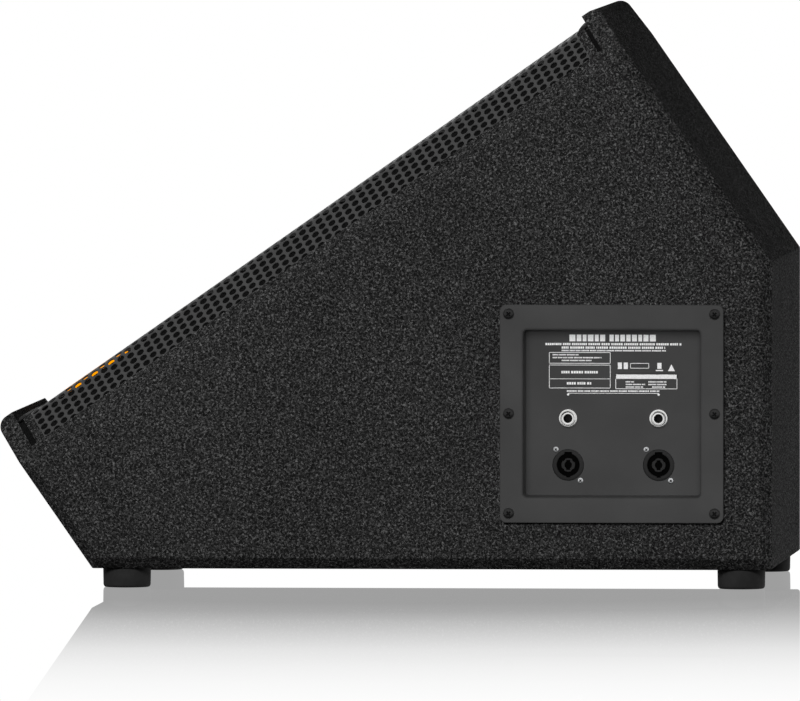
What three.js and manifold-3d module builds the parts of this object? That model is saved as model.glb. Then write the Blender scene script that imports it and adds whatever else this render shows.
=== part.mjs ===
// Passive stage monitor wedge: a plywood floor cabinet with a 12 inch woofer and a horn behind a grille.
// Millimetres, +Z up, +X towards the rear of the cabinet, origin under the middle of the bounding box.
import * as THREE from 'three';
import { mergeVertices } from 'three/addons/utils/BufferGeometryUtils.js';
import Module from 'manifold-3d';

const wasm = await Module();
wasm.setup();

// ---- Driving dimensions -------------------------------------------------------------------------

const GAP = 0.3; // clearance between neighbouring pieces
const LARGE_ROUND = 24; // sides of the woofer's rounds
const SMALL_ROUND = 16; // sides of feet, connectors and horn driver rounds
const SCREW_ROUND = 12;

// Cabinet
const WIDTH = 380; // between the outer faces of the side boards, along Y
const SLOPE_ANGLE = THREE.MathUtils.degToRad(34.8); // the grille slope above the floor
const SLOPE_LENGTH = 568; // lower lip to upper lip, outside
const BACK_SLOPE_LENGTH = 240; // square to the grille slope
const REAR_HEIGHT = 238;
const FOOT_HEIGHT = 15;
const SIDE_BOARD = 12.5;
const END_BOARD = 15; // lower front, back slope, rear and bottom boards
const LIP_CORNER_RADIUS = 9;
const EDGE_CHAMFER = 8.7;
const SIDE_BEVEL_DROP = 44; // wide bevel beside the grille, measured square to the slope
const SIDE_BEVEL_WIDTH = 37; // the same bevel, measured along Y

// Baffle and grille, as depths below the plane through the two lips
const BAFFLE_DEPTH = 34;
const BAFFLE_THICKNESS = 15;
const GRILLE_DEPTH = 7.7;
const GRILLE_SHEET = 1.2;
const GRILLE_LOWER_SLOT = 4.8;
const GRILLE_UPPER_SLOT = 3.4;
const END_STRIP_WIDTH = 8;
const END_STRIP_HEIGHT = 2.1;
const DAMPER_WIDTH = 10;
const DAMPER_TOP = 13;
const DAMPER_BOTTOM = 31;
const BADGE = { length: 51, width: 100, above: 1.5, below: 1.5, fromGrilleEnd: 28 };

// Feet
const FOOT_RADIUS = 18.5;
const FOOT_INSET = 28; // foot centre to the side board's outer face
const FOOT_POSITIONS_X = [-201, 275];
const FOOT_CHAMFER = 1.5;
const FOOT_POCKET_RADIUS = 7;
const FOOT_POCKET_DEPTH = 8;

// Terminal panel in the near side board
const TERMINAL = {
  x: 176.5,
  z: 135.8,
  length: 173,
  height: 168.5,
  cornerRadius: 5,
  flange: 2,
  gasket: 0.6,
  recessLength: 137,
  recessHeight: 129,
  recessDepth: 22,
  recessCorner: 3,
  tubCorner: 4,
  wall: 2.5,
  floor: 3,
  screwSpan: 159.3,
  screwRise: 77,
};
const TERMINAL_SCREW = {
  headRadius: 3.75,
  headHeight: 1.9,
  headEdge: 0.6,
  headRounding: 1.2,
  shankRadius: 1.75,
  length: 16,
  point: 3,
  clearance: 2.1,
  gasketHole: 2.3,
};
const CONNECTOR_SPAN = 70; // between the two columns of connectors
const JACK_DROP = 4.2; // jack row below the middle of the panel
const SOCKET_DROP = 40.3; // speaker socket row below the middle of the panel
const JACK = {
  bore: 3.3,
  barrel: 4.75,
  proud: 3.2,
  bodyLength: 24,
  bodyWidth: 16,
  bodyHeight: 18,
  boreDepth: 20,
};
const FERRULE = { radius: 7.3, height: 2.6 };
const SOCKET = {
  radius: 12,
  cutout: 12.3,
  ring: 10.75,
  core: 5.75,
  depth: 22,
  recess: 15,
  keyWidth: 4.8,
  keyReach: 11.3,
  flangeLength: 26,
  flangeHeight: 31,
  flange: 2,
};

// Woofer, measured from the middle of its cut-out in the baffle's front face
const WOOFER_ALONG_SLOPE = 187;
const WOOFER_CUTOUT_RADIUS = 141;
const BASKET = {
  rimRadius: 154,
  rimTop: 4.3,
  seatRadius: 137, // step under the surround's outer lip
  shoulderRadius: 124,
  shoulderHeight: -30,
  ledgeRadius: 71, // inner edge of the spider's ledge
  ledgeHeight: -70,
  magnetEnd: -84,
  wall: 2.5,
  windows: 6,
  windowLow: -60,
  windowHigh: -12,
  spokeWidth: 20,
};
const SURROUND = { inner: 109, outer: 147, innerLip: -2.4, outerLip: 4.6, middle: 125, roll: 8, sheet: 0.8 };
const WOOFER_GASKET = { inner: 137.5, outer: 153, bottom: 5.7, top: 8.7, rounding: 1, edge: 0.5 };
const CONE = { mouth: 116, neck: 34, top: -2.7, depth: 57.3, flare: 5, sheet: 1.2 };
const DUST_CAP = { radius: 42, edge: -55.3, crown: 13, sheet: 0.8 };
const SPIDER = {
  inner: 33.5,
  outer: 79,
  innerHeight: -75.5,
  outerHeight: -69.5,
  sheet: 0.8,
  waves: 2,
  wave: 1.2,
};
const COIL = { inner: 31.8, former: 32.6, winding: 33.4, bottom: -104, windingTop: -90, top: -61.6 };
const MAGNET = { plateHole: 34.1, plate: 74, hole: 48, radius: 80, backPlate: 72 };
const POLE = { bore: 8, radius: 31.3, top: -86 };
const MAGNET_HEIGHTS = { plateTop: -84.3, top: -92.6, bottom: -112.6, backTop: -112.9, backBottom: -120.9 };

// Horn and ports
const HORN_ALONG_SLOPE = 452;
const HORN = {
  flangeWidth: 220,
  flangeLength: 165,
  flange: 4,
  mouthWidth: 186,
  mouthLength: 130,
  wall: 4,
  depth: 108,
};
const THROAT_RADIUS = 12.7;
const THROAT_FLANGE = { radius: 38, thickness: 6 };
const DRIVER_RADIUS = 45;
const DRIVER = {
  gap: 24,
  pole: 20.6,
  poleBack: 15,
  poleFront: 14,
  body: 30,
  slot: 23,
  plugEdge: 29,
  plug: 31.5,
  bore: 25,
};
const DIAPHRAGM = {
  below: 31.2,
  rim: 33,
  dome: 22,
  crown: 9,
  sheet: 0.5,
  coilOuter: 22.7,
  coilInner: 22.1,
  coil: 6,
};
const DRIVER_COVER = {
  inset: 2,
  bottomInset: 8,
  bevel: 6,
  bore: 36,
  floorRadius: 30,
  bottom: 58,
  floor: 4,
  corner: 10,
};
const PORT = {
  side: 143.7,
  bore: 22,
  tube: 25,
  lip: 29.5,
  lipHeight: 2.3,
  lipRounding: 1,
  mouth: 2,
  end: 0.8,
  length: 100,
};
const CLEAT = { size: 18, start: 20, endBeforeHorn: 37 };

// Carrying handle in the far side board
const HANDLE = {
  x: 20,
  z: 170,
  length: 172,
  height: 96,
  cupLength: 146,
  cupHeight: 70,
  depth: 42,
  wall: 3,
  barHeight: 26,
  barThickness: 16,
  barDepth: 9, // middle of the grip bar below the flange's face
  barOverlap: 2,
};

// Crossover, lining and leads
const CROSSOVER = { length: 124, height: 110, sheet: 1.6, behindJacks: 6 };
const WADDING = { thickness: 30, width: 330, aboveBoard: 2, belowTop: 15 };
const LEAD_RADIUS = { woofer: 2.2, driver: 2 };

// ---- Materials ----------------------------------------------------------------------------------

function material(color, roughness, metalness = 0) {
  return new THREE.MeshStandardMaterial({ color, roughness, metalness });
}

const coating = material(0x242424, 0.85);
const bareWood = material(0xb08a5a, 0.8);
const grillePaint = material(0x3c3c3d, 0.5, 0.3);
const blackRubber = material(0x1b1b1b, 0.9);
const blackPlastic = material(0x3b3b3c, 0.55);
const deepBlackPlastic = material(0x151515, 0.4);
const nickel = material(0xcfcfcf, 0.25, 1);
const blackScrew = material(0x1d1d1e, 0.4, 0.6);
const foam = material(0x161616, 1);
const amber = material(0xff9c10, 0.4);
const castMetal = material(0x2a2a2c, 0.5, 0.6);
const paperCone = material(0x1c1c1c, 0.9);
const ferrite = material(0x3a3a3d, 0.6);
const steel = material(0x9a9c9e, 0.35, 0.9);
const copper = material(0xb06a3a, 0.35, 0.9);
const circuitBoard = material(0x1f5a32, 0.6);
const wadding = material(0xd8d8d2, 1);

// ---- Solids -------------------------------------------------------------------------------------

function toSolid(geometry) {
  const bare = geometry.clone();
  bare.deleteAttribute('normal');
  bare.deleteAttribute('uv');
  const merged = mergeVertices(bare, 1e-4);
  const corners = merged.index.array;
  const triVerts = [];
  for (let i = 0; i < corners.length; i += 3) {
    const [a, b, c] = corners.subarray(i, i + 3);
    if (a !== b && b !== c && c !== a) triVerts.push(a, b, c);
  }
  const vertProperties = new Float32Array(merged.attributes.position.array);
  const mesh = new wasm.Mesh({ numProp: 3, vertProperties, triVerts: new Uint32Array(triVerts) });
  return new wasm.Manifold(mesh);
}

function toGeometry(solid) {
  const mesh = solid.getMesh();
  const geometry = new THREE.BufferGeometry();
  geometry.setAttribute('position', new THREE.BufferAttribute(mesh.vertProperties, 3));
  geometry.setIndex(new THREE.BufferAttribute(mesh.triVerts, 1));
  geometry.computeVertexNormals();
  return geometry;
}

// Applies one solid operation between the first geometry and each of the others in turn.
const combine = (operation) => (first, ...others) =>
  toGeometry(others.reduce((whole, other) => whole[operation](toSolid(other)), toSolid(first)));
const join = combine('add');
const cut = combine('subtract');
const common = combine('intersect');

// A box between two corners.
function block(low, high) {
  const size = high.map((value, k) => value - low[k]);
  const middle = high.map((value, k) => (value + low[k]) / 2);
  return new THREE.BoxGeometry(...size).translate(...middle);
}

// A shape drawn in X and Z, extruded from one Y to another.
function slabAlongY(shape, lowY, highY, curveSegments = 4) {
  const depth = highY - lowY;
  const geometry = new THREE.ExtrudeGeometry(shape, { depth, bevelEnabled: false, curveSegments });
  return geometry.rotateX(Math.PI / 2).translate(0, highY, 0);
}

// A shape drawn in Y and Z, extruded from one X to another.
function slabAlongX(points, lowX, highX) {
  const shape = new THREE.Shape(points.map(([y, z]) => new THREE.Vector2(-z, y)));
  const geometry = new THREE.ExtrudeGeometry(shape, { depth: highX - lowX, bevelEnabled: false });
  return geometry.rotateY(Math.PI / 2).translate(lowX, 0, 0);
}

// A profile of [radius, height] points turned about Z. It starts and ends on the axis or closes on itself.
function turned(profile, segments = LARGE_ROUND) {
  const closed = profile[0][0] > 0 ? [...profile, profile[0]] : profile;
  const area = closed.slice(1).reduce((sum, [r, z], i) => sum + (closed[i][0] * z - r * closed[i][1]), 0);
  const outward = area > 0 ? closed : [...closed].reverse();
  const points = outward.map(([r, z]) => new THREE.Vector2(r, z));
  return new THREE.LatheGeometry(points, segments).rotateX(Math.PI / 2);
}

const disc = (radius, lowZ, highZ, segments = LARGE_ROUND) =>
  turned([[0, lowZ], [radius, lowZ], [radius, highZ], [0, highZ]], segments);
const ring = (inner, outer, lowZ, highZ, segments = LARGE_ROUND) =>
  turned([[inner, lowZ], [outer, lowZ], [outer, highZ], [inner, highZ]], segments);

// Turns a solid of revolution to stand along Y, with its height measured inwards from the near side.
const aboutY = (geometry, x, z) => geometry.rotateX(-Math.PI / 2).translate(x, 0, z);

function roundedRectangle(x, z, length, height, radius) {
  const [left, right, bottom, top] = [x - length / 2, x + length / 2, z - height / 2, z + height / 2];
  const shape = new THREE.Shape();
  shape.moveTo(left + radius, bottom);
  shape.lineTo(right - radius, bottom);
  shape.absarc(right - radius, bottom + radius, radius, -Math.PI / 2, 0);
  shape.lineTo(right, top - radius);
  shape.absarc(right - radius, top - radius, radius, 0, Math.PI / 2);
  shape.lineTo(left + radius, top);
  shape.absarc(left + radius, top - radius, radius, Math.PI / 2, Math.PI);
  shape.lineTo(left, bottom + radius);
  shape.absarc(left + radius, bottom + radius, radius, Math.PI, 1.5 * Math.PI);
  return shape;
}

// A closed body through a list of rings with the same number of points, from the lowest ring to the highest.
function loft(rings) {
  const count = rings[0].length;
  const positions = rings.flat(2);
  const middle = (points) => [0, 1, 2].map((k) => points.reduce((sum, p) => sum + p[k], 0) / count);
  const lowPole = rings.length * count;
  const highPole = lowPole + 1;
  positions.push(...middle(rings[0]), ...middle(rings[rings.length - 1]));
  const index = [];
  for (let j = 0; j < count; j += 1) {
    const next = (j + 1) % count;
    index.push(lowPole, next, j);
    for (let i = 0; i < rings.length - 1; i += 1) {
      const [a, b] = [i * count + j, i * count + next];
      index.push(a, b, b + count, a, b + count, a + count);
    }
    const top = (rings.length - 1) * count;
    index.push(highPole, top + j, top + next);
  }
  const geometry = new THREE.BufferGeometry();
  geometry.setAttribute('position', new THREE.Float32BufferAttribute(positions, 3));
  geometry.setIndex(index);
  return geometry;
}

// A round lead along a smooth curve.
function lead(points, radius) {
  const section = new THREE.Shape();
  section.absarc(0, 0, radius, 0, 2 * Math.PI);
  const extrudePath = new THREE.CatmullRomCurve3(points.map((p) => new THREE.Vector3(...p)));
  const options = { steps: 12, curveSegments: 4, bevelEnabled: false, extrudePath };
  return new THREE.ExtrudeGeometry(section, options);
}

// ---- The two frames -----------------------------------------------------------------------------

const sin = Math.sin(SLOPE_ANGLE);
const cos = Math.cos(SLOPE_ANGLE);
const HALF_WIDTH = WIDTH / 2;
const INSIDE = HALF_WIDTH - SIDE_BOARD; // side board's inner face

// Sharp corners of the side outline, placed so that the middle of the cabinet's length is at X = 0.
const reach = BACK_SLOPE_LENGTH * sin + SLOPE_LENGTH * cos;
const LENGTH = reach - LIP_CORNER_RADIUS * (cos + sin - 1);
const REAR_X = LENGTH / 2;
const upperRear = new THREE.Vector2(REAR_X, FOOT_HEIGHT + REAR_HEIGHT);
const upperLip = upperRear.clone().add(new THREE.Vector2(-sin, cos).multiplyScalar(BACK_SLOPE_LENGTH));
const lowerLip = upperLip.clone().sub(new THREE.Vector2(cos, sin).multiplyScalar(SLOPE_LENGTH));
const lowerFrontLength = (lowerLip.y - FOOT_HEIGHT) / cos;
const lowerFront = new THREE.Vector2(lowerLip.x + lowerFrontLength * sin, FOOT_HEIGHT);
const lowerRear = new THREE.Vector2(REAR_X, FOOT_HEIGHT);

// Slope frame: X runs up the slope from the lower lip, Z points out of the cabinet, and Z = 0 is the plane
// through the two lips.
const slopeFrame = new THREE.Group();
slopeFrame.position.set(lowerLip.x, 0, lowerLip.y);
slopeFrame.rotation.y = -SLOPE_ANGLE;
slopeFrame.updateMatrix();
const fromSlope = (geometry) => geometry.applyMatrix4(slopeFrame.matrix);

const bevelEdge = (depth) => HALF_WIDTH - SIDE_BEVEL_WIDTH + (depth * SIDE_BEVEL_WIDTH) / SIDE_BEVEL_DROP;

// ---- Cabinet boards -----------------------------------------------------------------------------

function sideOutline() {
  const radius = LIP_CORNER_RADIUS;
  const up = new THREE.Vector2(cos, sin);
  const inward = new THREE.Vector2(sin, -cos);
  const upperCentre = upperLip.clone().addScaledVector(up, -radius).addScaledVector(inward, radius);
  const lowerCentre = lowerLip.clone().addScaledVector(up, radius).addScaledVector(inward, radius);
  const outline = new THREE.Shape();
  outline.moveTo(lowerFront.x, lowerFront.y);
  outline.lineTo(lowerRear.x, lowerRear.y);
  outline.lineTo(upperRear.x, upperRear.y);
  outline.absarc(upperCentre.x, upperCentre.y, radius, SLOPE_ANGLE, SLOPE_ANGLE + Math.PI / 2);
  outline.absarc(lowerCentre.x, lowerCentre.y, radius, SLOPE_ANGLE + Math.PI / 2, SLOPE_ANGLE + Math.PI);
  return outline;
}

// The whole outside of the cabinet, with its chamfered edges and the wide bevels beside the grille.
function cabinetEnvelope() {
  const solid = new THREE.ExtrudeGeometry(sideOutline(), {
    depth: WIDTH - 2 * EDGE_CHAMFER,
    bevelThickness: EDGE_CHAMFER,
    bevelSize: EDGE_CHAMFER,
    bevelOffset: -EDGE_CHAMFER,
    bevelSegments: 1,
    curveSegments: 6,
  });
  solid.rotateX(Math.PI / 2).translate(0, HALF_WIDTH - EDGE_CHAMFER, 0);
  const over = 20;
  const bevels = [-1, 1].map((side) => {
    const corners = [
      [side * bevelEdge(-over), over],
      [side * bevelEdge(SIDE_BEVEL_DROP + over), -SIDE_BEVEL_DROP - over],
      [side * bevelEdge(SIDE_BEVEL_DROP + over), over],
    ];
    return fromSlope(slabAlongX(corners, -over, SLOPE_LENGTH + over));
  });
  return cut(solid, ...bevels);
}

const envelope = cabinetEnvelope();
const FAR = 1000; // further than any part of the cabinet
const within = INSIDE - GAP;
const lowerFrontZone = (thickness) => fromSlope(block([-FAR, -FAR, -FAR], [thickness, FAR, FAR]));
const backSlopeZone = (thickness) =>
  fromSlope(block([SLOPE_LENGTH - thickness, -FAR, -FAR], [FAR, FAR, FAR]));
const bottomZone = (thickness) => block([-FAR, -FAR, -FAR], [FAR, FAR, FOOT_HEIGHT + thickness]);
const rearZone = (thickness) => block([REAR_X - thickness, -FAR, -FAR], [FAR, FAR, FAR]);
const insideZone = block([-FAR, -within, -FAR], [FAR, within, FAR]);

const CUTOUT_CLEARANCE = 2;
const terminalCutout = () =>
  slabAlongY(
    roundedRectangle(
      TERMINAL.x,
      TERMINAL.z,
      TERMINAL.recessLength + 2 * (TERMINAL.wall + CUTOUT_CLEARANCE),
      TERMINAL.recessHeight + 2 * (TERMINAL.wall + CUTOUT_CLEARANCE),
      TERMINAL.cornerRadius
    ),
    -FAR,
    0
  );
const handleCutout = () =>
  slabAlongY(
    roundedRectangle(
      HANDLE.x,
      HANDLE.z,
      HANDLE.cupLength + 2 * (HANDLE.wall + CUTOUT_CLEARANCE),
      HANDLE.cupHeight + 2 * (HANDLE.wall + CUTOUT_CLEARANCE),
      HANDLE.cupHeight / 4
    ),
    0,
    FAR
  );

const terminalScrewPlaces = [-1, 0, 1].flatMap((row) =>
  [-1, 1].map((column) => {
    const x = TERMINAL.x + (column * TERMINAL.screwSpan) / 2;
    return [x, TERMINAL.z + row * TERMINAL.screwRise];
  })
);
const screwHoles = (radius) =>
  terminalScrewPlaces.map(([x, z]) => aboutY(disc(radius, -FAR, 0, SCREW_ROUND), x, z));

function terminalSidePanel() {
  const board = common(envelope, block([-FAR, -FAR, -FAR], [FAR, -INSIDE, FAR]));
  return cut(board, terminalCutout(), ...screwHoles(TERMINAL_SCREW.clearance));
}

function handleSidePanel() {
  const board = common(envelope, block([-FAR, INSIDE, -FAR], [FAR, FAR, FAR]));
  return cut(board, handleCutout());
}

const lowerFrontPanel = () => common(envelope, insideZone, lowerFrontZone(END_BOARD));
const backSlopePanel = () => cut(common(envelope, insideZone, backSlopeZone(END_BOARD)), rearZone(0));
const rearPanel = () =>
  cut(common(envelope, insideZone, rearZone(END_BOARD)), backSlopeZone(END_BOARD + GAP));
const bottomPanel = () =>
  cut(
    common(envelope, insideZone, bottomZone(END_BOARD)),
    lowerFrontZone(END_BOARD + GAP),
    rearZone(END_BOARD + GAP)
  );

// ---- Baffle, cleats, ports ----------------------------------------------------------------------

function baffle() {
  const board = block(
    [END_BOARD + GAP, -within, -BAFFLE_DEPTH - BAFFLE_THICKNESS],
    [SLOPE_LENGTH - END_BOARD - GAP, within, -BAFFLE_DEPTH]
  );
  const through = (geometry, x, y) => geometry.translate(x, y, -BAFFLE_DEPTH);
  const woofer = through(disc(WOOFER_CUTOUT_RADIUS, -FAR, FAR), WOOFER_ALONG_SLOPE, 0);
  const hornClearance = 1;
  const halfLength = HORN.mouthLength / 2 + HORN.wall + hornClearance;
  const halfWidth = HORN.mouthWidth / 2 + HORN.wall + hornClearance;
  const hornBlock = block([-halfLength, -halfWidth, -FAR], [halfLength, halfWidth, FAR]);
  const horn = through(hornBlock, HORN_ALONG_SLOPE, 0);
  const portClearance = 0.4;
  const ports = [-1, 1].map((side) =>
    through(disc(PORT.tube + portClearance, -FAR, FAR, SMALL_ROUND), HORN_ALONG_SLOPE, side * PORT.side)
  );
  return cut(board, woofer, horn, ...ports);
}

// Battens glued to the side boards, which the baffle is screwed to.
function baffleCleat(side) {
  const top = -BAFFLE_DEPTH - BAFFLE_THICKNESS - GAP;
  const faces = [side * (within - CLEAT.size), side * within].sort((a, b) => a - b);
  return block(
    [CLEAT.start, faces[0], top - CLEAT.size],
    [HORN_ALONG_SLOPE - CLEAT.endBeforeHorn, faces[1], top]
  );
}

function portTube(side) {
  const inner = PORT.end - PORT.length;
  const profile = [
    [PORT.bore, inner],
    [PORT.tube, inner],
    [PORT.tube, GAP],
    [PORT.lip, GAP],
    [PORT.lip - PORT.lipRounding, PORT.lipHeight],
    [PORT.bore + PORT.mouth, PORT.lipHeight],
    [PORT.bore, 0],
  ];
  return turned(profile, SMALL_ROUND).translate(HORN_ALONG_SLOPE, side * PORT.side, -BAFFLE_DEPTH);
}

// ---- Grille -------------------------------------------------------------------------------------

const GRILLE_START = END_BOARD + GRILLE_LOWER_SLOT;
const GRILLE_END = SLOPE_LENGTH - END_BOARD - GRILLE_UPPER_SLOT;

// Folded sheet: a flat front and a flange down each bevelled side.
function grille() {
  const edge = [bevelEdge(GRILLE_DEPTH), -GRILLE_DEPTH];
  const hemDepth = SIDE_BEVEL_DROP - (SIDE_BOARD + GAP) * (SIDE_BEVEL_DROP / SIDE_BEVEL_WIDTH);
  const hem = [INSIDE - GAP, -hemDepth];
  const slant = Math.hypot(SIDE_BEVEL_DROP, SIDE_BEVEL_WIDTH);
  const sheetAcross = (GRILLE_SHEET * slant) / SIDE_BEVEL_DROP;
  const innerEdge = [bevelEdge(GRILLE_DEPTH + GRILLE_SHEET) - sheetAcross, -GRILLE_DEPTH - GRILLE_SHEET];
  const innerHem = [hem[0] - sheetAcross, hem[1]];
  const half = [innerEdge, innerHem, hem, edge];
  const otherHalf = half.map(([y, z]) => [-y, z]).reverse();
  const sheet = slabAlongX([...half, ...otherHalf], GRILLE_START, GRILLE_END);
  return cut(sheet, badgeBody(GAP));
}

function badgeBody(clearance) {
  const start = GRILLE_START + BADGE.fromGrilleEnd;
  return block(
    [start - clearance, -BADGE.width / 2 - clearance, -GRILLE_DEPTH - GRILLE_SHEET - BADGE.below],
    [start + BADGE.length + clearance, BADGE.width / 2 + clearance, -GRILLE_DEPTH + BADGE.above]
  );
}

// Half-round rubber strip lying across one end of the grille, beside the lip.
function grilleEndStrip(start) {
  const points = [];
  const steps = 8;
  for (let i = 0; i <= steps; i += 1) {
    const angle = (Math.PI * i) / steps;
    const along = (-Math.cos(angle) * END_STRIP_WIDTH) / 2;
    points.push(new THREE.Vector2(along, Math.sin(angle) * END_STRIP_HEIGHT));
  }
  const middle = start + END_STRIP_WIDTH / 2;
  const fromFold = 3;
  const half = bevelEdge(GRILLE_DEPTH) - fromFold;
  return slabAlongY(new THREE.Shape(points), -half, half).translate(middle, 0, -GRILLE_DEPTH + GAP);
}

// Foam strip behind one grille flange, which stops the grille buzzing.
function grilleDamper(side) {
  const clearance = 2.1;
  const outer = (depth) => Math.min(bevelEdge(depth) - clearance, within - GAP);
  const corners = [
    [outer(DAMPER_TOP), -DAMPER_TOP],
    [outer(DAMPER_BOTTOM), -DAMPER_BOTTOM],
    [outer(DAMPER_BOTTOM) - DAMPER_WIDTH, -DAMPER_BOTTOM],
    [outer(DAMPER_TOP) - DAMPER_WIDTH, -DAMPER_TOP],
  ];
  const placed = corners.map(([y, z]) => [side * y, z]);
  return slabAlongX(placed, GRILLE_START, GRILLE_END);
}

// ---- Feet ---------------------------------------------------------------------------------------

function foot(x, side) {
  const top = FOOT_HEIGHT - GAP;
  const profile = [
    [0, FOOT_POCKET_DEPTH],
    [FOOT_POCKET_RADIUS, FOOT_POCKET_DEPTH],
    [FOOT_POCKET_RADIUS, 0],
    [FOOT_RADIUS - FOOT_CHAMFER, 0],
    [FOOT_RADIUS, FOOT_CHAMFER],
    [FOOT_RADIUS, top],
    [0, top],
  ];
  return turned(profile, SMALL_ROUND).translate(x, side * (HALF_WIDTH - FOOT_INSET), 0);
}

// ---- Terminal panel -----------------------------------------------------------------------------

const flangeBack = -HALF_WIDTH - GAP - TERMINAL.gasket - GAP;
const flangeFront = flangeBack - TERMINAL.flange;
const recessFloor = flangeFront + TERMINAL.recessDepth;
const recessBack = recessFloor + TERMINAL.floor;
const outermost = -flangeFront + GAP + TERMINAL_SCREW.headHeight; // the screw heads' faces

const recessShape = (wall, radius) => {
  const [length, height] = [TERMINAL.recessLength + 2 * wall, TERMINAL.recessHeight + 2 * wall];
  return roundedRectangle(TERMINAL.x, TERMINAL.z, length, height, radius);
};
const columns = [-1, 1].map((side) => TERMINAL.x + (side * CONNECTOR_SPAN) / 2);
const jackHeight = TERMINAL.z - JACK_DROP;
const socketHeight = TERMINAL.z - SOCKET_DROP;

function terminalDish() {
  const { length, height, cornerRadius } = TERMINAL;
  const flangeShape = roundedRectangle(TERMINAL.x, TERMINAL.z, length, height, cornerRadius);
  const flange = slabAlongY(flangeShape, flangeFront, flangeBack);
  const tub = slabAlongY(recessShape(TERMINAL.wall, TERMINAL.tubCorner), flangeFront, recessBack);
  const hollow = slabAlongY(recessShape(0, TERMINAL.recessCorner), -FAR, recessFloor);
  const hole = (radius, x, z) => aboutY(disc(radius, -FAR, 0, SMALL_ROUND), x, z);
  const jackHoles = columns.map((x) => hole(JACK.barrel + GAP, x, jackHeight));
  const socketHoles = columns.map((x) => hole(SOCKET.cutout, x, socketHeight));
  const dish = cut(join(flange, tub), hollow);
  return cut(dish, ...jackHoles, ...socketHoles, ...screwHoles(TERMINAL_SCREW.clearance));
}

function terminalGasket() {
  const inset = 2;
  const [length, height] = [TERMINAL.length - 2 * inset, TERMINAL.height - 2 * inset];
  const outer = roundedRectangle(TERMINAL.x, TERMINAL.z, length, height, TERMINAL.cornerRadius);
  const back = -HALF_WIDTH - GAP;
  const sheet = slabAlongY(outer, back - TERMINAL.gasket, back);
  return cut(sheet, terminalCutout(), ...screwHoles(TERMINAL_SCREW.gasketHole));
}

function terminalScrew(x, z) {
  const underHead = flangeFront - GAP;
  const { headRadius, headHeight, headEdge, headRounding, shankRadius, length, point } = TERMINAL_SCREW;
  const profile = [
    [0, underHead - headHeight],
    [headRadius - headRounding, underHead - headHeight],
    [headRadius, underHead - headEdge],
    [headRadius, underHead],
    [shankRadius, underHead],
    [shankRadius, underHead + length - point],
    [0, underHead + length],
  ];
  return aboutY(turned(profile, SCREW_ROUND), x, z);
}

// Quarter inch jack: a housing behind the panel with a barrel through it.
function inputJack(x) {
  const front = recessFloor - JACK.proud;
  const bodyFront = recessBack + GAP;
  const body = block(
    [x - JACK.bodyWidth / 2, bodyFront, jackHeight - JACK.bodyHeight / 2],
    [x + JACK.bodyWidth / 2, bodyFront + JACK.bodyLength, jackHeight + JACK.bodyHeight / 2]
  );
  const barrelEnd = bodyFront + JACK.bodyLength / 2;
  const barrel = aboutY(disc(JACK.barrel, front, barrelEnd, SMALL_ROUND), x, jackHeight);
  const bore = aboutY(disc(JACK.bore, -FAR, front + JACK.boreDepth, SMALL_ROUND), x, jackHeight);
  return cut(join(body, barrel), bore);
}

function jackFerrule(x) {
  const back = recessFloor - GAP;
  const ferrule = ring(JACK.barrel + GAP, FERRULE.radius, back - FERRULE.height, back, SMALL_ROUND);
  return aboutY(ferrule, x, jackHeight);
}

// Twist-lock speaker socket: a round shell with a keyed core, and a square flange behind the panel.
function speakerSocket(x) {
  const front = recessFloor;
  const flangeY = recessBack + GAP;
  const shell = aboutY(disc(SOCKET.radius, front, front + SOCKET.depth, SMALL_ROUND), x, socketHeight);
  const flange = block(
    [x - SOCKET.flangeLength / 2, flangeY, socketHeight - SOCKET.flangeHeight / 2],
    [x + SOCKET.flangeLength / 2, flangeY + SOCKET.flange, socketHeight + SOCKET.flangeHeight / 2]
  );
  const bottom = front + SOCKET.recess;
  const recess = aboutY(ring(SOCKET.core, SOCKET.ring, -FAR, bottom, SMALL_ROUND), x, socketHeight);
  const keyway = block(
    [x - SOCKET.keyWidth / 2, -FAR, socketHeight],
    [x + SOCKET.keyWidth / 2, bottom, socketHeight + SOCKET.keyReach]
  );
  const core = aboutY(disc(SOCKET.core, -FAR, bottom, SMALL_ROUND), x, socketHeight);
  return cut(join(shell, flange), recess, cut(keyway, core));
}

// ---- Crossover, behind the terminal panel -------------------------------------------------------

const boardFront = recessBack + JACK.bodyLength + CROSSOVER.behindJacks;
const boardBack = boardFront + CROSSOVER.sheet;

function crossoverBoard() {
  return block(
    [TERMINAL.x - CROSSOVER.length / 2, boardFront, TERMINAL.z - CROSSOVER.height / 2],
    [TERMINAL.x + CROSSOVER.length / 2, boardBack, TERMINAL.z + CROSSOVER.height / 2]
  );
}

// A coil on a flanged bobbin, standing on the board.
function inductor(x, z, radius, height) {
  const flange = 1.5;
  const coreShare = 0.35;
  const windingShare = 0.86;
  const start = boardBack + GAP;
  const end = start + height;
  const core = radius * coreShare;
  const winding = radius * windingShare;
  const profile = [
    [core, start],
    [radius, start],
    [radius, start + flange],
    [winding, start + flange],
    [winding, end - flange],
    [radius, end - flange],
    [radius, end],
    [core, end],
  ];
  return aboutY(turned(profile, SMALL_ROUND), x, z);
}

// A film capacitor lying flat on the board.
function capacitor(x, z, radius, length) {
  const edge = 1;
  const profile = [
    [0, 0],
    [radius - edge, 0],
    [radius, edge],
    [radius, length - edge],
    [radius - edge, length],
    [0, length],
  ];
  return turned(profile, SMALL_ROUND).translate(x, boardBack + GAP + radius, z);
}

// ---- Handle -------------------------------------------------------------------------------------

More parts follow.
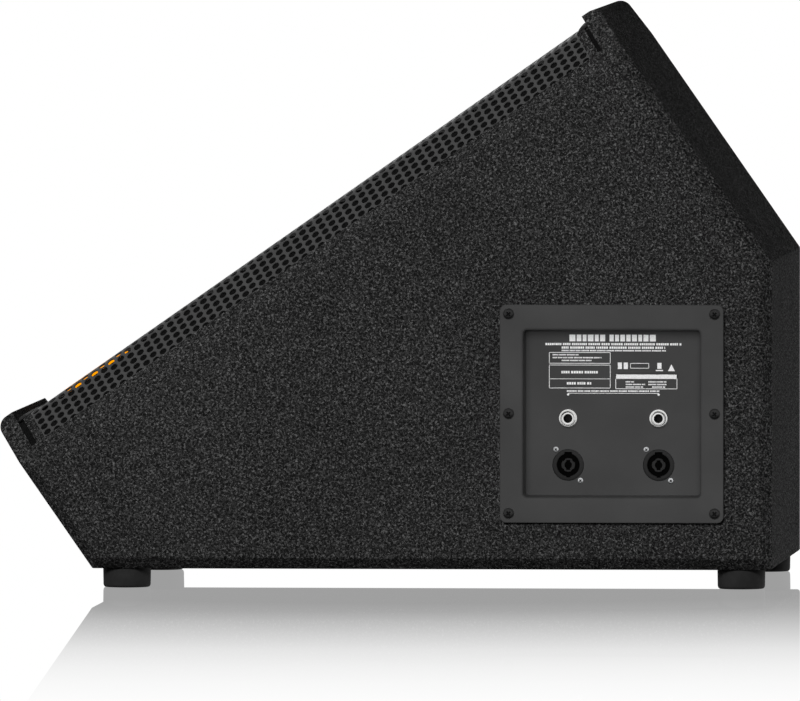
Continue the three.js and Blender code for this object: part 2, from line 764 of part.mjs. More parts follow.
// Moulded cup with a grip bar across its mouth.
function handleCup() {
  const { x, z, cupLength, cupHeight } = HANDLE;
  const outer = roundedRectangle(x, z, HANDLE.length, HANDLE.height, HANDLE.height / 4);
  const shape = (grow) => roundedRectangle(x, z, cupLength + grow, cupHeight + grow, cupHeight / 4);
  const flangeInner = HALF_WIDTH + GAP;
  const flange = slabAlongY(outer, flangeInner, outermost);
  const cup = slabAlongY(shape(2 * HANDLE.wall), HALF_WIDTH - HANDLE.depth, outermost);
  const hollow = slabAlongY(shape(0), HALF_WIDTH - HANDLE.depth + HANDLE.wall, FAR);
  const barReach = HANDLE.cupLength / 2 + HANDLE.barOverlap;
  const bar = slabAlongX(barSection(), HANDLE.x - barReach, HANDLE.x + barReach);
  return join(cut(join(flange, cup), hollow), bar);
}

// Oval section of the grip bar, as [y, z] points.
function barSection() {
  const middleY = outermost - HANDLE.barDepth;
  const points = [];
  const steps = 16;
  for (let i = 0; i < steps; i += 1) {
    const angle = (2 * Math.PI * i) / steps;
    const y = middleY + (HANDLE.barThickness / 2) * Math.cos(angle);
    const z = HANDLE.z + (HANDLE.barHeight / 2) * Math.sin(angle);
    points.push([y, z]);
  }
  return points;
}

// ---- Woofer, with Z = 0 at the baffle's front face ----------------------------------------------

// Cast frame: a rim on the baffle, a bowl with windows between its spokes, a ledge for the spider, and a ring
// around the magnet's top plate.
function wooferBasket() {
  const { rimRadius, rimTop, seatRadius, shoulderRadius, shoulderHeight } = BASKET;
  const { ledgeRadius, ledgeHeight, magnetEnd } = BASKET;
  const inside = [
    [seatRadius, rimTop],
    [seatRadius - 4, -3],
    [shoulderRadius, shoulderHeight],
    [ledgeRadius + 17, ledgeHeight + 3.5],
    [ledgeRadius + 13, ledgeHeight],
    [ledgeRadius, ledgeHeight],
  ];
  const underLedge = [
    [ledgeRadius, ledgeHeight - BASKET.wall],
    [ledgeRadius + 9, ledgeHeight - BASKET.wall],
    [ledgeRadius + 9, magnetEnd + 3],
    [ledgeRadius - 19, magnetEnd + 3],
    [ledgeRadius - 19, magnetEnd],
  ];
  const outside = [
    [ledgeRadius + 15, magnetEnd],
    [ledgeRadius + 15, ledgeHeight - 2],
    [ledgeRadius + 20, ledgeHeight + 1],
    [shoulderRadius + 4, shoulderHeight - 1],
    [seatRadius + 0.5, -4],
    [seatRadius + 2.8, GAP],
  ];
  const bowl = turned([[rimRadius, GAP], [rimRadius, rimTop], ...inside, ...underLedge, ...outside]);
  const band = ring(ledgeRadius + 13, rimRadius, BASKET.windowLow, BASKET.windowHigh);
  const spokes = [];
  for (let i = 0; i < BASKET.windows / 2; i += 1) {
    const half = BASKET.spokeWidth / 2;
    spokes.push(block([-FAR, -half, -FAR], [FAR, half, FAR]).rotateZ((2 * Math.PI * i) / BASKET.windows));
  }
  return cut(bowl, cut(band, ...spokes));
}

// Half roll, whose inner lip lies deeper than its outer lip.
function wooferSurround() {
  const { inner, outer, innerLip, outerLip, middle, roll, sheet } = SURROUND;
  const over = [];
  const steps = 6;
  for (let i = 0; i <= steps; i += 1) {
    const angle = (Math.PI * i) / steps;
    const drop = i > steps / 2 ? (outerLip - innerLip) * (1 - Math.sin(angle)) : 0;
    over.push([middle + roll * Math.cos(angle), outerLip + roll * Math.sin(angle) - drop]);
  }
  const top = [[outer, outerLip], ...over, [inner, innerLip]];
  const bottom = top.map(([r, z]) => {
    const inRoll = Math.abs(r - middle) < roll;
    return [inRoll ? middle + (r - middle) * (1 - sheet / roll) : r, z];
  });
  return turned([...bottom, ...top.reverse().map(([r, z]) => [r, z + sheet])]);
}

function wooferGasket() {
  const { inner, outer, bottom, top, rounding, edge } = WOOFER_GASKET;
  const profile = [
    [inner, bottom],
    [outer, bottom],
    [outer, top - edge],
    [outer - rounding, top],
    [inner + rounding, top],
    [inner, top - edge],
  ];
  return turned(profile);
}

function wooferCone() {
  const steps = 4;
  const front = [];
  for (let i = 0; i <= steps; i += 1) {
    const t = i / steps;
    const flare = CONE.flare * Math.sin(Math.PI * t);
    front.push([CONE.mouth - (CONE.mouth - CONE.neck) * t, CONE.top - CONE.depth * t - flare]);
  }
  const back = front.map(([r, z]) => [r, z - CONE.sheet]).reverse();
  return turned([...front, ...back]);
}

// Points of a dome's profile from its crown on the axis to its edge.
function domeProfile(radius, height) {
  const steps = 4;
  const points = [];
  for (let i = 0; i <= steps; i += 1) {
    const angle = (Math.PI / 2) * (i / steps);
    points.push([radius * Math.sin(angle), height * Math.cos(angle)]);
  }
  return points;
}

function dustCap() {
  const { radius, edge, crown, sheet } = DUST_CAP;
  const dome = (shrink) => domeProfile(radius - shrink, crown - shrink).map(([r, z]) => [r, edge + z]);
  return turned([...dome(0), ...dome(sheet).reverse()]);
}

// Corrugated cloth, flat in its outer fifth where it is glued to the basket's ledge.
function wooferSpider() {
  const { inner, outer, innerHeight, outerHeight, sheet, waves, wave } = SPIDER;
  const steps = 10;
  const corrugated = 0.8;
  const below = 0.2;
  const middle = [];
  for (let i = 0; i <= steps; i += 1) {
    const t = i / steps;
    const inWaves = Math.min(t / corrugated, 1);
    const ripple = wave * Math.sin(2 * Math.PI * waves * inWaves);
    middle.push([inner + (outer - inner) * t, innerHeight + (outerHeight - innerHeight) * inWaves + ripple]);
  }
  const bottom = middle.map(([r, z]) => [r, z - below]).reverse();
  return turned([...middle.map(([r, z]) => [r, z + sheet - below]), ...bottom]);
}

// Former glued into the cone's neck, with the winding at its lower end.
function voiceCoil() {
  const profile = [
    [COIL.inner, COIL.bottom],
    [COIL.winding, COIL.bottom],
    [COIL.winding, COIL.windingTop],
    [COIL.former, COIL.windingTop],
    [COIL.former, COIL.top],
    [COIL.inner, COIL.top],
  ];
  return turned(profile);
}

const wooferTopPlate = () =>
  ring(MAGNET.plateHole, MAGNET.plate, MAGNET_HEIGHTS.top + GAP, MAGNET_HEIGHTS.plateTop);
const wooferMagnet = () => ring(MAGNET.hole, MAGNET.radius, MAGNET_HEIGHTS.bottom, MAGNET_HEIGHTS.top);

// Back plate with the pole piece that stands inside the voice coil.
function wooferBackPlate() {
  const profile = [
    [POLE.bore, MAGNET_HEIGHTS.backBottom],
    [MAGNET.backPlate, MAGNET_HEIGHTS.backBottom],
    [MAGNET.backPlate, MAGNET_HEIGHTS.backTop],
    [POLE.radius, MAGNET_HEIGHTS.backTop],
    [POLE.radius, POLE.top],
    [POLE.bore, POLE.top],
  ];
  return turned(profile);
}

// ---- Horn and compression driver, with Z = 0 at the baffle's front face -------------------------

const throatEnd = -HORN.depth - THROAT_FLANGE.thickness;
const driverTop = throatEnd - GAP;

// One closed ring of the flare: a rounded rectangle that becomes a circle at the throat.
function flareRing(share, grow) {
  const count = 24;
  const flareCurve = 1.6;
  const spread = Math.pow(1 - share, flareCurve);
  const halfLength = THROAT_RADIUS + (HORN.mouthLength / 2 - THROAT_RADIUS) * spread + grow;
  const halfWidth = THROAT_RADIUS + (HORN.mouthWidth / 2 - THROAT_RADIUS) * spread + grow;
  const squareness = 2 + 4 * Math.pow(1 - share, 2);
  const points = [];
  for (let i = 0; i < count; i += 1) {
    const angle = (2 * Math.PI * i) / count;
    const [c, s] = [Math.cos(angle), Math.sin(angle)];
    const scale = Math.pow(Math.abs(c) ** squareness + Math.abs(s) ** squareness, -1 / squareness);
    points.push([halfLength * scale * c, halfWidth * scale * s]);
  }
  return points;
}

function flareBody(grow, extraTop, extraBottom) {
  const steps = 6;
  const rings = [];
  for (let i = steps; i >= 0; i -= 1) {
    const share = i / steps;
    const height = -HORN.depth * share;
    rings.push(flareRing(share, grow).map(([x, y]) => [x, y, height]));
  }
  if (extraBottom) rings.unshift(rings[0].map(([x, y, z]) => [x, y, z - extraBottom]));
  if (extraTop) rings.push(rings[rings.length - 1].map(([x, y, z]) => [x, y, z + extraTop]));
  return loft(rings);
}

function hornFlare() {
  const flange = block(
    [-HORN.flangeLength / 2, -HORN.flangeWidth / 2, GAP],
    [HORN.flangeLength / 2, HORN.flangeWidth / 2, GAP + HORN.flange]
  );
  const intoFlange = 1;
  const through = 20;
  const outside = flareBody(HORN.wall, GAP + intoFlange, 0);
  const throatFlange = disc(THROAT_FLANGE.radius, throatEnd, -HORN.depth, SMALL_ROUND);
  return cut(join(flange, outside, throatFlange), flareBody(0, through, through));
}

// Magnet body with the coil's gap and the phase plug in front of the diaphragm.
function driverBody() {
  const profile = [
    [THROAT_RADIUS, driverTop],
    [DRIVER_RADIUS, driverTop],
    [DRIVER_RADIUS, driverTop - DRIVER.body],
    [DRIVER.gap, driverTop - DRIVER.body],
    [DRIVER.gap, driverTop - DRIVER.slot],
    [DRIVER.pole, driverTop - DRIVER.slot],
    [DRIVER.pole, driverTop - DRIVER.plugEdge],
    [DRIVER.poleBack, driverTop - DRIVER.plug],
    [DRIVER.poleFront, driverTop - DRIVER.bore],
  ];
  return turned(profile, SMALL_ROUND);
}

// Titanium dome, flat surround and coil former in one piece.
function driverDiaphragm() {
  const { below, rim, dome, crown, sheet, coilOuter, coilInner, coil } = DIAPHRAGM;
  const domeSheet = 0.4;
  const plane = driverTop - below;
  const hanging = (radius, height) => domeProfile(radius, height).map(([r, z]) => [r, plane - z]);
  const flatRim = [
    [rim, plane],
    [rim, plane + sheet],
    [coilOuter, plane + sheet],
    [coilOuter, plane + coil],
    [coilInner, plane + coil],
    [coilInner, plane + sheet],
  ];
  const inner = hanging(dome - domeSheet, crown - sheet).reverse();
  return turned([...hanging(dome, crown), ...flatRim, ...inner], SMALL_ROUND);
}

function driverCover() {
  const { inset, bottomInset, bevel, bore, floorRadius, bottom, floor, corner } = DRIVER_COVER;
  const rim = driverTop - DRIVER.body - GAP;
  const outside = driverTop - bottom;
  const profile = [
    [0, outside],
    [DRIVER_RADIUS - bottomInset, outside],
    [DRIVER_RADIUS - inset, outside + bevel],
    [DRIVER_RADIUS - inset, rim],
    [bore, rim],
    [bore, outside + corner],
    [floorRadius, outside + floor],
    [0, outside + floor],
  ];
  return turned(profile, SMALL_ROUND);
}

// ---- Soft lining and leads ----------------------------------------------------------------------

function rearWadding() {
  const back = REAR_X - END_BOARD - GAP;
  return block(
    [back - WADDING.thickness, -WADDING.width / 2, FOOT_HEIGHT + END_BOARD + WADDING.aboveBoard],
    [back, WADDING.width / 2, FOOT_HEIGHT + REAR_HEIGHT - WADDING.belowTop]
  );
}

// A point given along the slope, across it and below the plane of the lips.
const slopePoint = (along, y, depth) => [
  lowerLip.x + along * cos + depth * sin,
  y,
  lowerLip.y + along * sin - depth * cos,
];

// A lead that leaves the board squarely and passes a middle point on its way to the end.
function boardLead(start, middle, end, radius) {
  const straight = 8;
  const leaving = [start[0], start[1] + straight, start[2]];
  return lead([start, leaving, middle, end], radius);
}

const halfway = (start, end) => start.map((value, k) => (value + end[k]) / 2);

// From the board's front edge to the side of the woofer's basket, kept close to the side board.
function wooferLead() {
  const fromEdge = 8;
  const sideways = -126;
  const sag = 22;
  const start = [TERMINAL.x - CROSSOVER.length / 2 + fromEdge, boardBack + GAP, TERMINAL.z + 10];
  const end = slopePoint(WOOFER_ALONG_SLOPE + 90, -96, BAFFLE_DEPTH + 46);
  const [x, , z] = halfway(start, end);
  return boardLead(start, [x, sideways, z - sag], end, LEAD_RADIUS.woofer);
}

// From the board's top edge to the side of the compression driver.
function driverLead() {
  const fromEdge = 6;
  const rise = 14;
  const belowDriverTop = 20;
  const beside = 1;
  const start = [TERMINAL.x, boardBack + GAP, TERMINAL.z + CROSSOVER.height / 2 - fromEdge];
  const depth = BAFFLE_DEPTH - driverTop + belowDriverTop;
  const end = slopePoint(HORN_ALONG_SLOPE, -DRIVER_RADIUS - beside, depth);
  const [x, y, z] = halfway(start, end);
  return boardLead(start, [x, y, z + rise], end, LEAD_RADIUS.driver);
}

// ---- Assembly -----------------------------------------------------------------------------------

const monitor = new THREE.Group();
const atWoofer = new THREE.Group();
const atHorn = new THREE.Group();
monitor.add(slopeFrame);
slopeFrame.add(atWoofer, atHorn);
atWoofer.position.set(WOOFER_ALONG_SLOPE, 0, -BAFFLE_DEPTH);
atHorn.position.set(HORN_ALONG_SLOPE, 0, -BAFFLE_DEPTH);

function add(parent, name, geometry, finish) {
  const mesh = new THREE.Mesh(geometry, finish);
  mesh.name = name;
  parent.add(mesh);
}

add(monitor, 'terminal_side_panel', terminalSidePanel(), coating);
add(monitor, 'handle_side_panel', handleSidePanel(), coating);
add(monitor, 'bottom_panel', bottomPanel(), coating);
add(monitor, 'rear_panel', rearPanel(), coating);
add(monitor, 'back_slope_panel', backSlopePanel(), coating);
add(monitor, 'lower_front_panel', lowerFrontPanel(), coating);
add(slopeFrame, 'baffle', baffle(), coating);
add(slopeFrame, 'grille', grille(), grillePaint);
add(slopeFrame, 'grille_badge', badgeBody(0), amber);
const lowerStrip = END_BOARD + 2 * GAP;
const upperStrip = SLOPE_LENGTH - END_BOARD - END_STRIP_WIDTH - 2 * GAP;
add(slopeFrame, 'grille_strip_lower', grilleEndStrip(lowerStrip), blackRubber);
add(slopeFrame, 'grille_strip_upper', grilleEndStrip(upperStrip), blackRubber);

for (const [side, word] of [[-1, 'near'], [1, 'far']]) {
  add(slopeFrame, `baffle_cleat_${word}`, baffleCleat(side), bareWood);
  add(slopeFrame, `grille_damper_${word}`, grilleDamper(side), foam);
  add(slopeFrame, `port_tube_${word}`, portTube(side), deepBlackPlastic);
  for (const [i, place] of ['front', 'rear'].entries()) {
    add(monitor, `foot_${place}_${word}`, foot(FOOT_POSITIONS_X[i], side), blackRubber);
  }
}

add(monitor, 'terminal_dish', terminalDish(), blackPlastic);
add(monitor, 'terminal_gasket', terminalGasket(), foam);
for (const [i, [x, z]] of terminalScrewPlaces.entries()) {
  add(monitor, `terminal_screw_${i + 1}`, terminalScrew(x, z), blackScrew);
}
for (const [i, word] of ['left', 'right'].entries()) {
  add(monitor, `input_jack_${word}`, inputJack(columns[i]), deepBlackPlastic);
  add(monitor, `jack_ferrule_${word}`, jackFerrule(columns[i]), nickel);
  add(monitor, `speaker_socket_${word}`, speakerSocket(columns[i]), deepBlackPlastic);
}

add(monitor, 'crossover_board', crossoverBoard(), circuitBoard);
add(monitor, 'woofer_inductor', inductor(TERMINAL.x - 32, TERMINAL.z - 24, 22, 26), copper);
add(monitor, 'horn_inductor', inductor(TERMINAL.x + 32, TERMINAL.z - 30, 15, 18), copper);
add(monitor, 'woofer_capacitor', capacitor(TERMINAL.x - 4, TERMINAL.z + 2, 9, 42), deepBlackPlastic);
add(monitor, 'horn_capacitor', capacitor(TERMINAL.x + 34, TERMINAL.z + 2, 7, 34), deepBlackPlastic);
add(monitor, 'woofer_lead', wooferLead(), blackRubber);
add(monitor, 'driver_lead', driverLead(), blackRubber);
add(monitor, 'handle_cup', handleCup(), deepBlackPlastic);
add(monitor, 'rear_wadding', rearWadding(), wadding);

add(atWoofer, 'woofer_basket', wooferBasket(), castMetal);
add(atWoofer, 'woofer_gasket', wooferGasket(), blackRubber);
add(atWoofer, 'woofer_surround', wooferSurround(), blackRubber);
add(atWoofer, 'woofer_cone', wooferCone(), paperCone);
add(atWoofer, 'woofer_dust_cap', dustCap(), paperCone);
add(atWoofer, 'woofer_spider', wooferSpider(), copper);
add(atWoofer, 'woofer_voice_coil', voiceCoil(), copper);
add(atWoofer, 'woofer_top_plate', wooferTopPlate(), steel);
add(atWoofer, 'woofer_magnet', wooferMagnet(), ferrite);
add(atWoofer, 'woofer_back_plate', wooferBackPlate(), steel);

add(atHorn, 'horn_flare', hornFlare(), deepBlackPlastic);
add(atHorn, 'driver_body', driverBody(), ferrite);
add(atHorn, 'driver_diaphragm', driverDiaphragm(), steel);
add(atHorn, 'driver_cover', driverCover(), deepBlackPlastic);

export default monitor;
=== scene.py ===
"""Stage monitor wedge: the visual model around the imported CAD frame.

Builders take millimetres, and the objects that they make are in metres.
"""

import math
import random
from collections import Counter

import bmesh
import bpy
from mathutils import Matrix, Vector


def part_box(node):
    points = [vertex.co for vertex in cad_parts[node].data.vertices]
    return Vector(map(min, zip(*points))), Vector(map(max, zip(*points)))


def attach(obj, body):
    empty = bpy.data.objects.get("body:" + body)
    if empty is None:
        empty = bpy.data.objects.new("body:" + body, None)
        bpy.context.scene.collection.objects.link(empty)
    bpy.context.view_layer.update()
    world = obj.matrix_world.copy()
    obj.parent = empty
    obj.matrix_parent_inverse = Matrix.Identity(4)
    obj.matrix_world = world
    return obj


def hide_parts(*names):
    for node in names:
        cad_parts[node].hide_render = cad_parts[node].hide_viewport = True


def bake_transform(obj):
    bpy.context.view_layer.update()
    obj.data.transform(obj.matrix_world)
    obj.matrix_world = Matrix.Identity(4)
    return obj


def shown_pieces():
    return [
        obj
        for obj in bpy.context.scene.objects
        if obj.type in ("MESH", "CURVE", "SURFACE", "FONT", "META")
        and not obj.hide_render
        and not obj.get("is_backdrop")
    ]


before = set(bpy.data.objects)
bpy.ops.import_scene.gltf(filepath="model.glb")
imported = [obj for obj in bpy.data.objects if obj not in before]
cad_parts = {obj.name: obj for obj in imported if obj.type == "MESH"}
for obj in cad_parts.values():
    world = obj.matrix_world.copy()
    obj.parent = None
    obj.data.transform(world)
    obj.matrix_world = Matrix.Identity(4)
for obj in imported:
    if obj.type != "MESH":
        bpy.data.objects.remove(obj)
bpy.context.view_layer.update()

MM = 0.001


def node_box(node):
    """A CAD node's lowest and highest corners, in millimetres."""
    low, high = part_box(node)
    return low / MM, high / MM


# ---- Measures, from the frame ----

SLOPE_ANGLE = math.radians(34.8)
SIN, COS = math.sin(SLOPE_ANGLE), math.cos(SLOPE_ANGLE)
SLOPE_LENGTH = 568
BACK_SLOPE_LENGTH = 240
EDGE_CHAMFER = 8.7
LIP_CORNER_RADIUS = 9
SIDE_BEVEL_DROP = 44
SIDE_BEVEL_WIDTH = 37
COAT_EDGE_RADIUS = 2.5

REAR_X = node_box("rear_panel")[1].x
END_BOARD = REAR_X - node_box("rear_panel")[0].x
BOTTOM_Z = node_box("bottom_panel")[0].z
REAR_TOP_Z = 253
SIDE_FACE = -node_box("terminal_side_panel")[0].y
SIDE_BOARD = 11.2
SIDE_INSIDE = SIDE_FACE - SIDE_BOARD

UPPER_REAR = Vector((REAR_X, 0, REAR_TOP_Z))
UPPER_LIP = UPPER_REAR + BACK_SLOPE_LENGTH * Vector((-SIN, 0, COS))
LOWER_LIP = UPPER_LIP - SLOPE_LENGTH * Vector((COS, 0, SIN))

# Slope frame: X up the slope from the lower lip, Z out of the cabinet, Z = 0 in the plane of the two lips.
SLOPE = Matrix(((COS, 0, -SIN, LOWER_LIP.x), (0, 1, 0, 0), (SIN, 0, COS, LOWER_LIP.z), (0, 0, 0, 1)))
BAFFLE_DEPTH = 34


def moved(place, x=0, y=0, z=0):
    """A frame shifted along its own axes."""
    return place @ Matrix.Translation((x, y, z))


def spun(place, degrees):
    """A frame turned about its own Z axis."""
    return place @ Matrix.Rotation(math.radians(degrees), 4, "Z")


WOOFER = moved(SLOPE, 187, 0, -BAFFLE_DEPTH)
HORN = moved(SLOPE, 452, 0, -BAFFLE_DEPTH)


def facing_near(x, y, z):
    """A frame on the near side: X along the cabinet, Y up, Z out towards the camera's side."""
    return Matrix(((1, 0, 0, x), (0, 0, -1, y), (0, 1, 0, z), (0, 0, 0, 1)))


def facing_far(x, y, z):
    """The same on the far side, with Z out away from the near side."""
    return Matrix(((-1, 0, 0, x), (0, 0, 1, y), (0, 1, 0, z), (0, 0, 0, 1)))


# Terminal panel in the near side and handle in the far side, as frames whose Z = 0 is the board's outer face.
TERMINAL = facing_near(176.5, -SIDE_FACE, 135.8)
PANEL_LENGTH, PANEL_HEIGHT, PANEL_CORNER = 173, 168.5, 5
RECESS_LENGTH, RECESS_HEIGHT = 137, 129
HANDLE = facing_far(20, SIDE_FACE, 170)
CUP_LENGTH, CUP_HEIGHT = 146, 70
CUP_CORNER = CUP_HEIGHT / 4


# ---- Mesh building ----

STILL = Matrix.Identity(4)
BEVELLED_FROM = 40


def soften(obj, angle=30):
    """Smooth shading, with edges sharper than the angle kept crisp."""
    mesh = obj.data
    mesh.polygons.foreach_set("use_smooth", [True] * len(mesh.polygons))
    mesh.set_sharp_from_angle(angle=math.radians(angle))
    return obj


def link_mesh(name, bm):
    mesh = bpy.data.meshes.new(name)
    bm.to_mesh(mesh)
    bm.free()
    obj = bpy.data.objects.new(name, mesh)
    bpy.context.scene.collection.objects.link(obj)
    return obj


def make(name, shape, place=STILL, bevel=0.0, angle=30):
    """An object from (points in millimetres, faces), set in a frame, with sharp edges rounded by bevel."""
    points, faces = shape
    bm = bmesh.new()
    verts = [bm.verts.new((place @ Vector(p)) * MM) for p in points]
    for face in faces:
        bm.faces.new([verts[i] for i in face])
    bmesh.ops.recalc_face_normals(bm, faces=bm.faces)
    if bevel:
        sharp = [e for e in bm.edges if e.calc_face_angle(0) > math.radians(BEVELLED_FROM)]
        bmesh.ops.bevel(bm, geom=sharp, offset=bevel * MM, segments=3, profile=0.5, affect="EDGES")
    return soften(link_mesh(name, bm), angle)


def settle(obj):
    """Applies an object's modifiers."""
    bpy.context.view_layer.update()
    evaluated = obj.evaluated_get(bpy.context.evaluated_depsgraph_get())
    mesh = bpy.data.meshes.new_from_object(evaluated)
    obj.modifiers.clear()
    obj.data = mesh
    return obj


def carve(obj, cutters, operation="DIFFERENCE", angle=30):
    for cutter in cutters:
        step = obj.modifiers.new("carve", "BOOLEAN")
        step.object = cutter
        step.operation = operation
        step.solver = "EXACT"
    settle(obj)
    for cutter in cutters:
        bpy.data.objects.remove(cutter)
    return soften(obj, angle)


def gather(name, objects):
    """Several objects as one piece."""
    bm = bmesh.new()
    for obj in objects:
        bm.from_mesh(obj.data)
        bpy.data.objects.remove(obj)
    return soften(link_mesh(name, bm))


def piece(obj, material, stands_for=(), body="cabinet"):
    """Gives a finished mesh its material, its body and the CAD nodes that it stands for."""
    obj.data.materials.clear()
    obj.data.materials.append(material)
    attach(obj, body)
    if stands_for:
        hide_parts(*stands_for)
    return obj


def paint(obj, place, material, inside):
    """A second material on the faces whose middle, in millimetres in the place's frame, passes a test."""
    obj.data.materials.append(material)
    back = place.inverted()
    for face in obj.data.polygons:
        if inside(back @ (face.center / MM)):
            face.material_index = 1
    return obj


def turned(profile, sides=96):
    """A profile of (radius, height) turned about Z. It starts and ends on the axis or closes on itself."""
    points, rings = [], []
    for radius, height in profile:
        count = sides if radius > 0 else 1
        rings.append([len(points) + i for i in range(count)])
        for i in range(count):
            angle = 2 * math.pi * i / sides
            points.append((radius * math.cos(angle), radius * math.sin(angle), height))
    pairs = list(zip(rings, rings[1:]))
    if profile[0][0] > 0:
        pairs.append((rings[-1], rings[0]))
    faces = []
    for low, high in pairs:
        for i in range(sides):
            k = i + 1
            corners = (low[i % len(low)], low[k % len(low)], high[k % len(high)], high[i % len(high)])
            faces.append(list(dict.fromkeys(corners)))
    return points, faces


def lofted(rings):
    """A skin over rings of equal count, capped at both ends."""
    count, levels = len(rings[0]), len(rings)
    points = [p for ring in rings for p in ring]
    faces = []
    for low in range(0, (levels - 1) * count, count):
        high = low + count
        for j in range(count):
            k = (j + 1) % count
            faces.append((low + j, low + k, high + k, high + j))
    faces.append(tuple(range(count)))
    faces.append(tuple(range((levels - 1) * count, levels * count)))
    return points, faces


def rounded_ring(length, height, radius, z, steps=8):
    """A rounded rectangle about the origin at height z."""
    ring = []
    for quarter, (sx, sy) in enumerate(((1, 1), (-1, 1), (-1, -1), (1, -1))):
        for i in range(steps + 1):
            angle = math.pi / 2 * (quarter + i / steps)
            x = sx * (length / 2 - radius) + radius * math.cos(angle)
            y = sy * (height / 2 - radius) + radius * math.sin(angle)
            ring.append((x, y, z))
    return ring


def box_shape(low, high):
    (x0, y0, z0), (x1, y1, z1) = low, high
    return lofted([[(x0, y0, z), (x1, y0, z), (x1, y1, z), (x0, y1, z)] for z in (z0, z1)])


def cylinder(radius, low, high, sides=48):
    return turned([(0, low), (radius, low), (radius, high), (0, high)], sides)


# ---- Materials ----


MIX_COLOUR_A, MIX_COLOUR_B, MIX_COLOUR_RESULT = 6, 7, 2


def maths(tree, operation, first, second):
    """The result of a Math node on two values, each a number or a socket."""
    node = tree.nodes.new("ShaderNodeMath")
    node.operation = operation
    for socket, value in zip(node.inputs, (first, second)):
        if isinstance(value, (int, float)):
            socket.default_value = value
        else:
            tree.links.new(value, socket)
    return node.outputs["Value"]


class Finish:
    """A Principled material whose patterns are built in object space."""

    def __init__(self, name, roughness=0.5, metallic=0.0, specular=0.5):
        self.material = bpy.data.materials.new(name)
        self.material.use_nodes = True
        self.tree = self.material.node_tree
        self.nodes, self.links = self.tree.nodes, self.tree.links
        self.shader = self.nodes["Principled BSDF"]
        self.shader.inputs["Roughness"].default_value = roughness
        self.shader.inputs["Metallic"].default_value = metallic
        self.shader.inputs["Specular IOR Level"].default_value = specular
        self.place = self.nodes.new("ShaderNodeTexCoord").outputs["Object"]

    def stretched(self, scale):
        """Object coordinates with each axis scaled, for grain and streaks."""
        mapping = self.nodes.new("ShaderNodeMapping")
        mapping.inputs["Scale"].default_value = scale
        self.links.new(self.place, mapping.inputs["Vector"])
        return mapping.outputs["Vector"]

    def noise(self, scale, detail=2.0, roughness=0.5, distortion=0.0, place=None):
        node = self.nodes.new("ShaderNodeTexNoise")
        node.inputs["Scale"].default_value = scale
        node.inputs["Detail"].default_value = detail
        node.inputs["Roughness"].default_value = roughness
        node.inputs["Distortion"].default_value = distortion
        self.links.new(place or self.place, node.inputs["Vector"])
        return node.outputs["Fac"]

    def cells(self, scale):
        node = self.nodes.new("ShaderNodeTexVoronoi")
        node.inputs["Scale"].default_value = scale
        self.links.new(self.place, node.inputs["Vector"])
        return node.outputs["Distance"]

    def ramp(self, value, stops):
        """Grey or coloured stops along a value."""
        node = self.nodes.new("ShaderNodeValToRGB")
        elements = node.color_ramp.elements
        while len(elements) < len(stops):
            elements.new(0.5)
        for element, (at, colour) in zip(elements, stops):
            element.position = at
            rgb = (colour,) * 3 if isinstance(colour, (int, float)) else colour
            element.color = (*rgb, 1)
        self.links.new(value, node.inputs["Fac"])
        return node.outputs["Color"]

    def product(self, first, second):
        """Two colours multiplied."""
        node = self.nodes.new("ShaderNodeMix")
        node.data_type = "RGBA"
        node.blend_type = "MULTIPLY"
        node.inputs["Factor"].default_value = 1.0
        self.links.new(first, node.inputs[MIX_COLOUR_A])
        self.links.new(second, node.inputs[MIX_COLOUR_B])
        return node.outputs[MIX_COLOUR_RESULT]

    def colour(self, socket):
        self.links.new(socket, self.shader.inputs["Base Color"])
        return self

    def roughen(self, value, low, high):
        """Roughness that follows a pattern between two levels."""
        self.links.new(self.ramp(value, ((0.0, low), (1.0, high))), self.shader.inputs["Roughness"])
        return self

    def bump(self, height, distance, strength=1.0):
        """Relief whose depth is a distance in millimetres."""
        node = self.nodes.new("ShaderNodeBump")
        node.inputs["Strength"].default_value = strength
        node.inputs["Distance"].default_value = distance * MM
        self.links.new(height, node.inputs["Height"])
        self.links.new(node.outputs["Normal"], self.shader.inputs["Normal"])
        return self


def textured_coat():
    """Black spatter coat: short pale flecks, one to two millimetres long, over near-black."""
    finish = Finish("textured_coat", roughness=1.0, specular=0.0)
    flecks = finish.noise(600, detail=2.0, roughness=0.6, distortion=0.9)
    patches = finish.noise(9, detail=4)
    grey = finish.ramp(flecks, ((0.36, 0.007), (0.48, 0.017), (0.58, 0.048), (0.7, 0.135)))
    shade = finish.ramp(patches, ((0.3, 0.85), (0.7, 1.0)))
    finish.colour(finish.product(grey, shade))
    finish.bump(flecks, 0.5, 0.7)
    return finish.material


def grille_steel():
    """Satin black powder coat, with a faint orange-peel surface and rubbed patches."""
    finish = Finish("grille_steel", specular=0.3)
    peel = finish.noise(900, detail=2)
    rub = finish.noise(18, detail=6, roughness=0.65)
    finish.colour(finish.ramp(rub, ((0.35, 0.028), (0.62, 0.033), (0.8, 0.046))))
    finish.roughen(rub, 0.5, 0.36)
    finish.bump(peel, 0.05, 0.5)
    return finish.material


def moulded(name, level, grain=1400, depth=0.04, roughness=(0.42, 0.6), specular=0.4):
    """Injection-moulded plastic with a fine spark-eroded grain and slightly uneven gloss."""
    finish = Finish(name, specular=specular)
    texture = finish.noise(grain, detail=3, roughness=0.6)
    wear = finish.noise(22, detail=5)
    finish.colour(finish.ramp(wear, ((0.3, level * 0.9), (0.7, level * 1.1))))
    finish.roughen(wear, roughness[1], roughness[0])
    finish.bump(texture, depth, 0.6)
    return finish.material


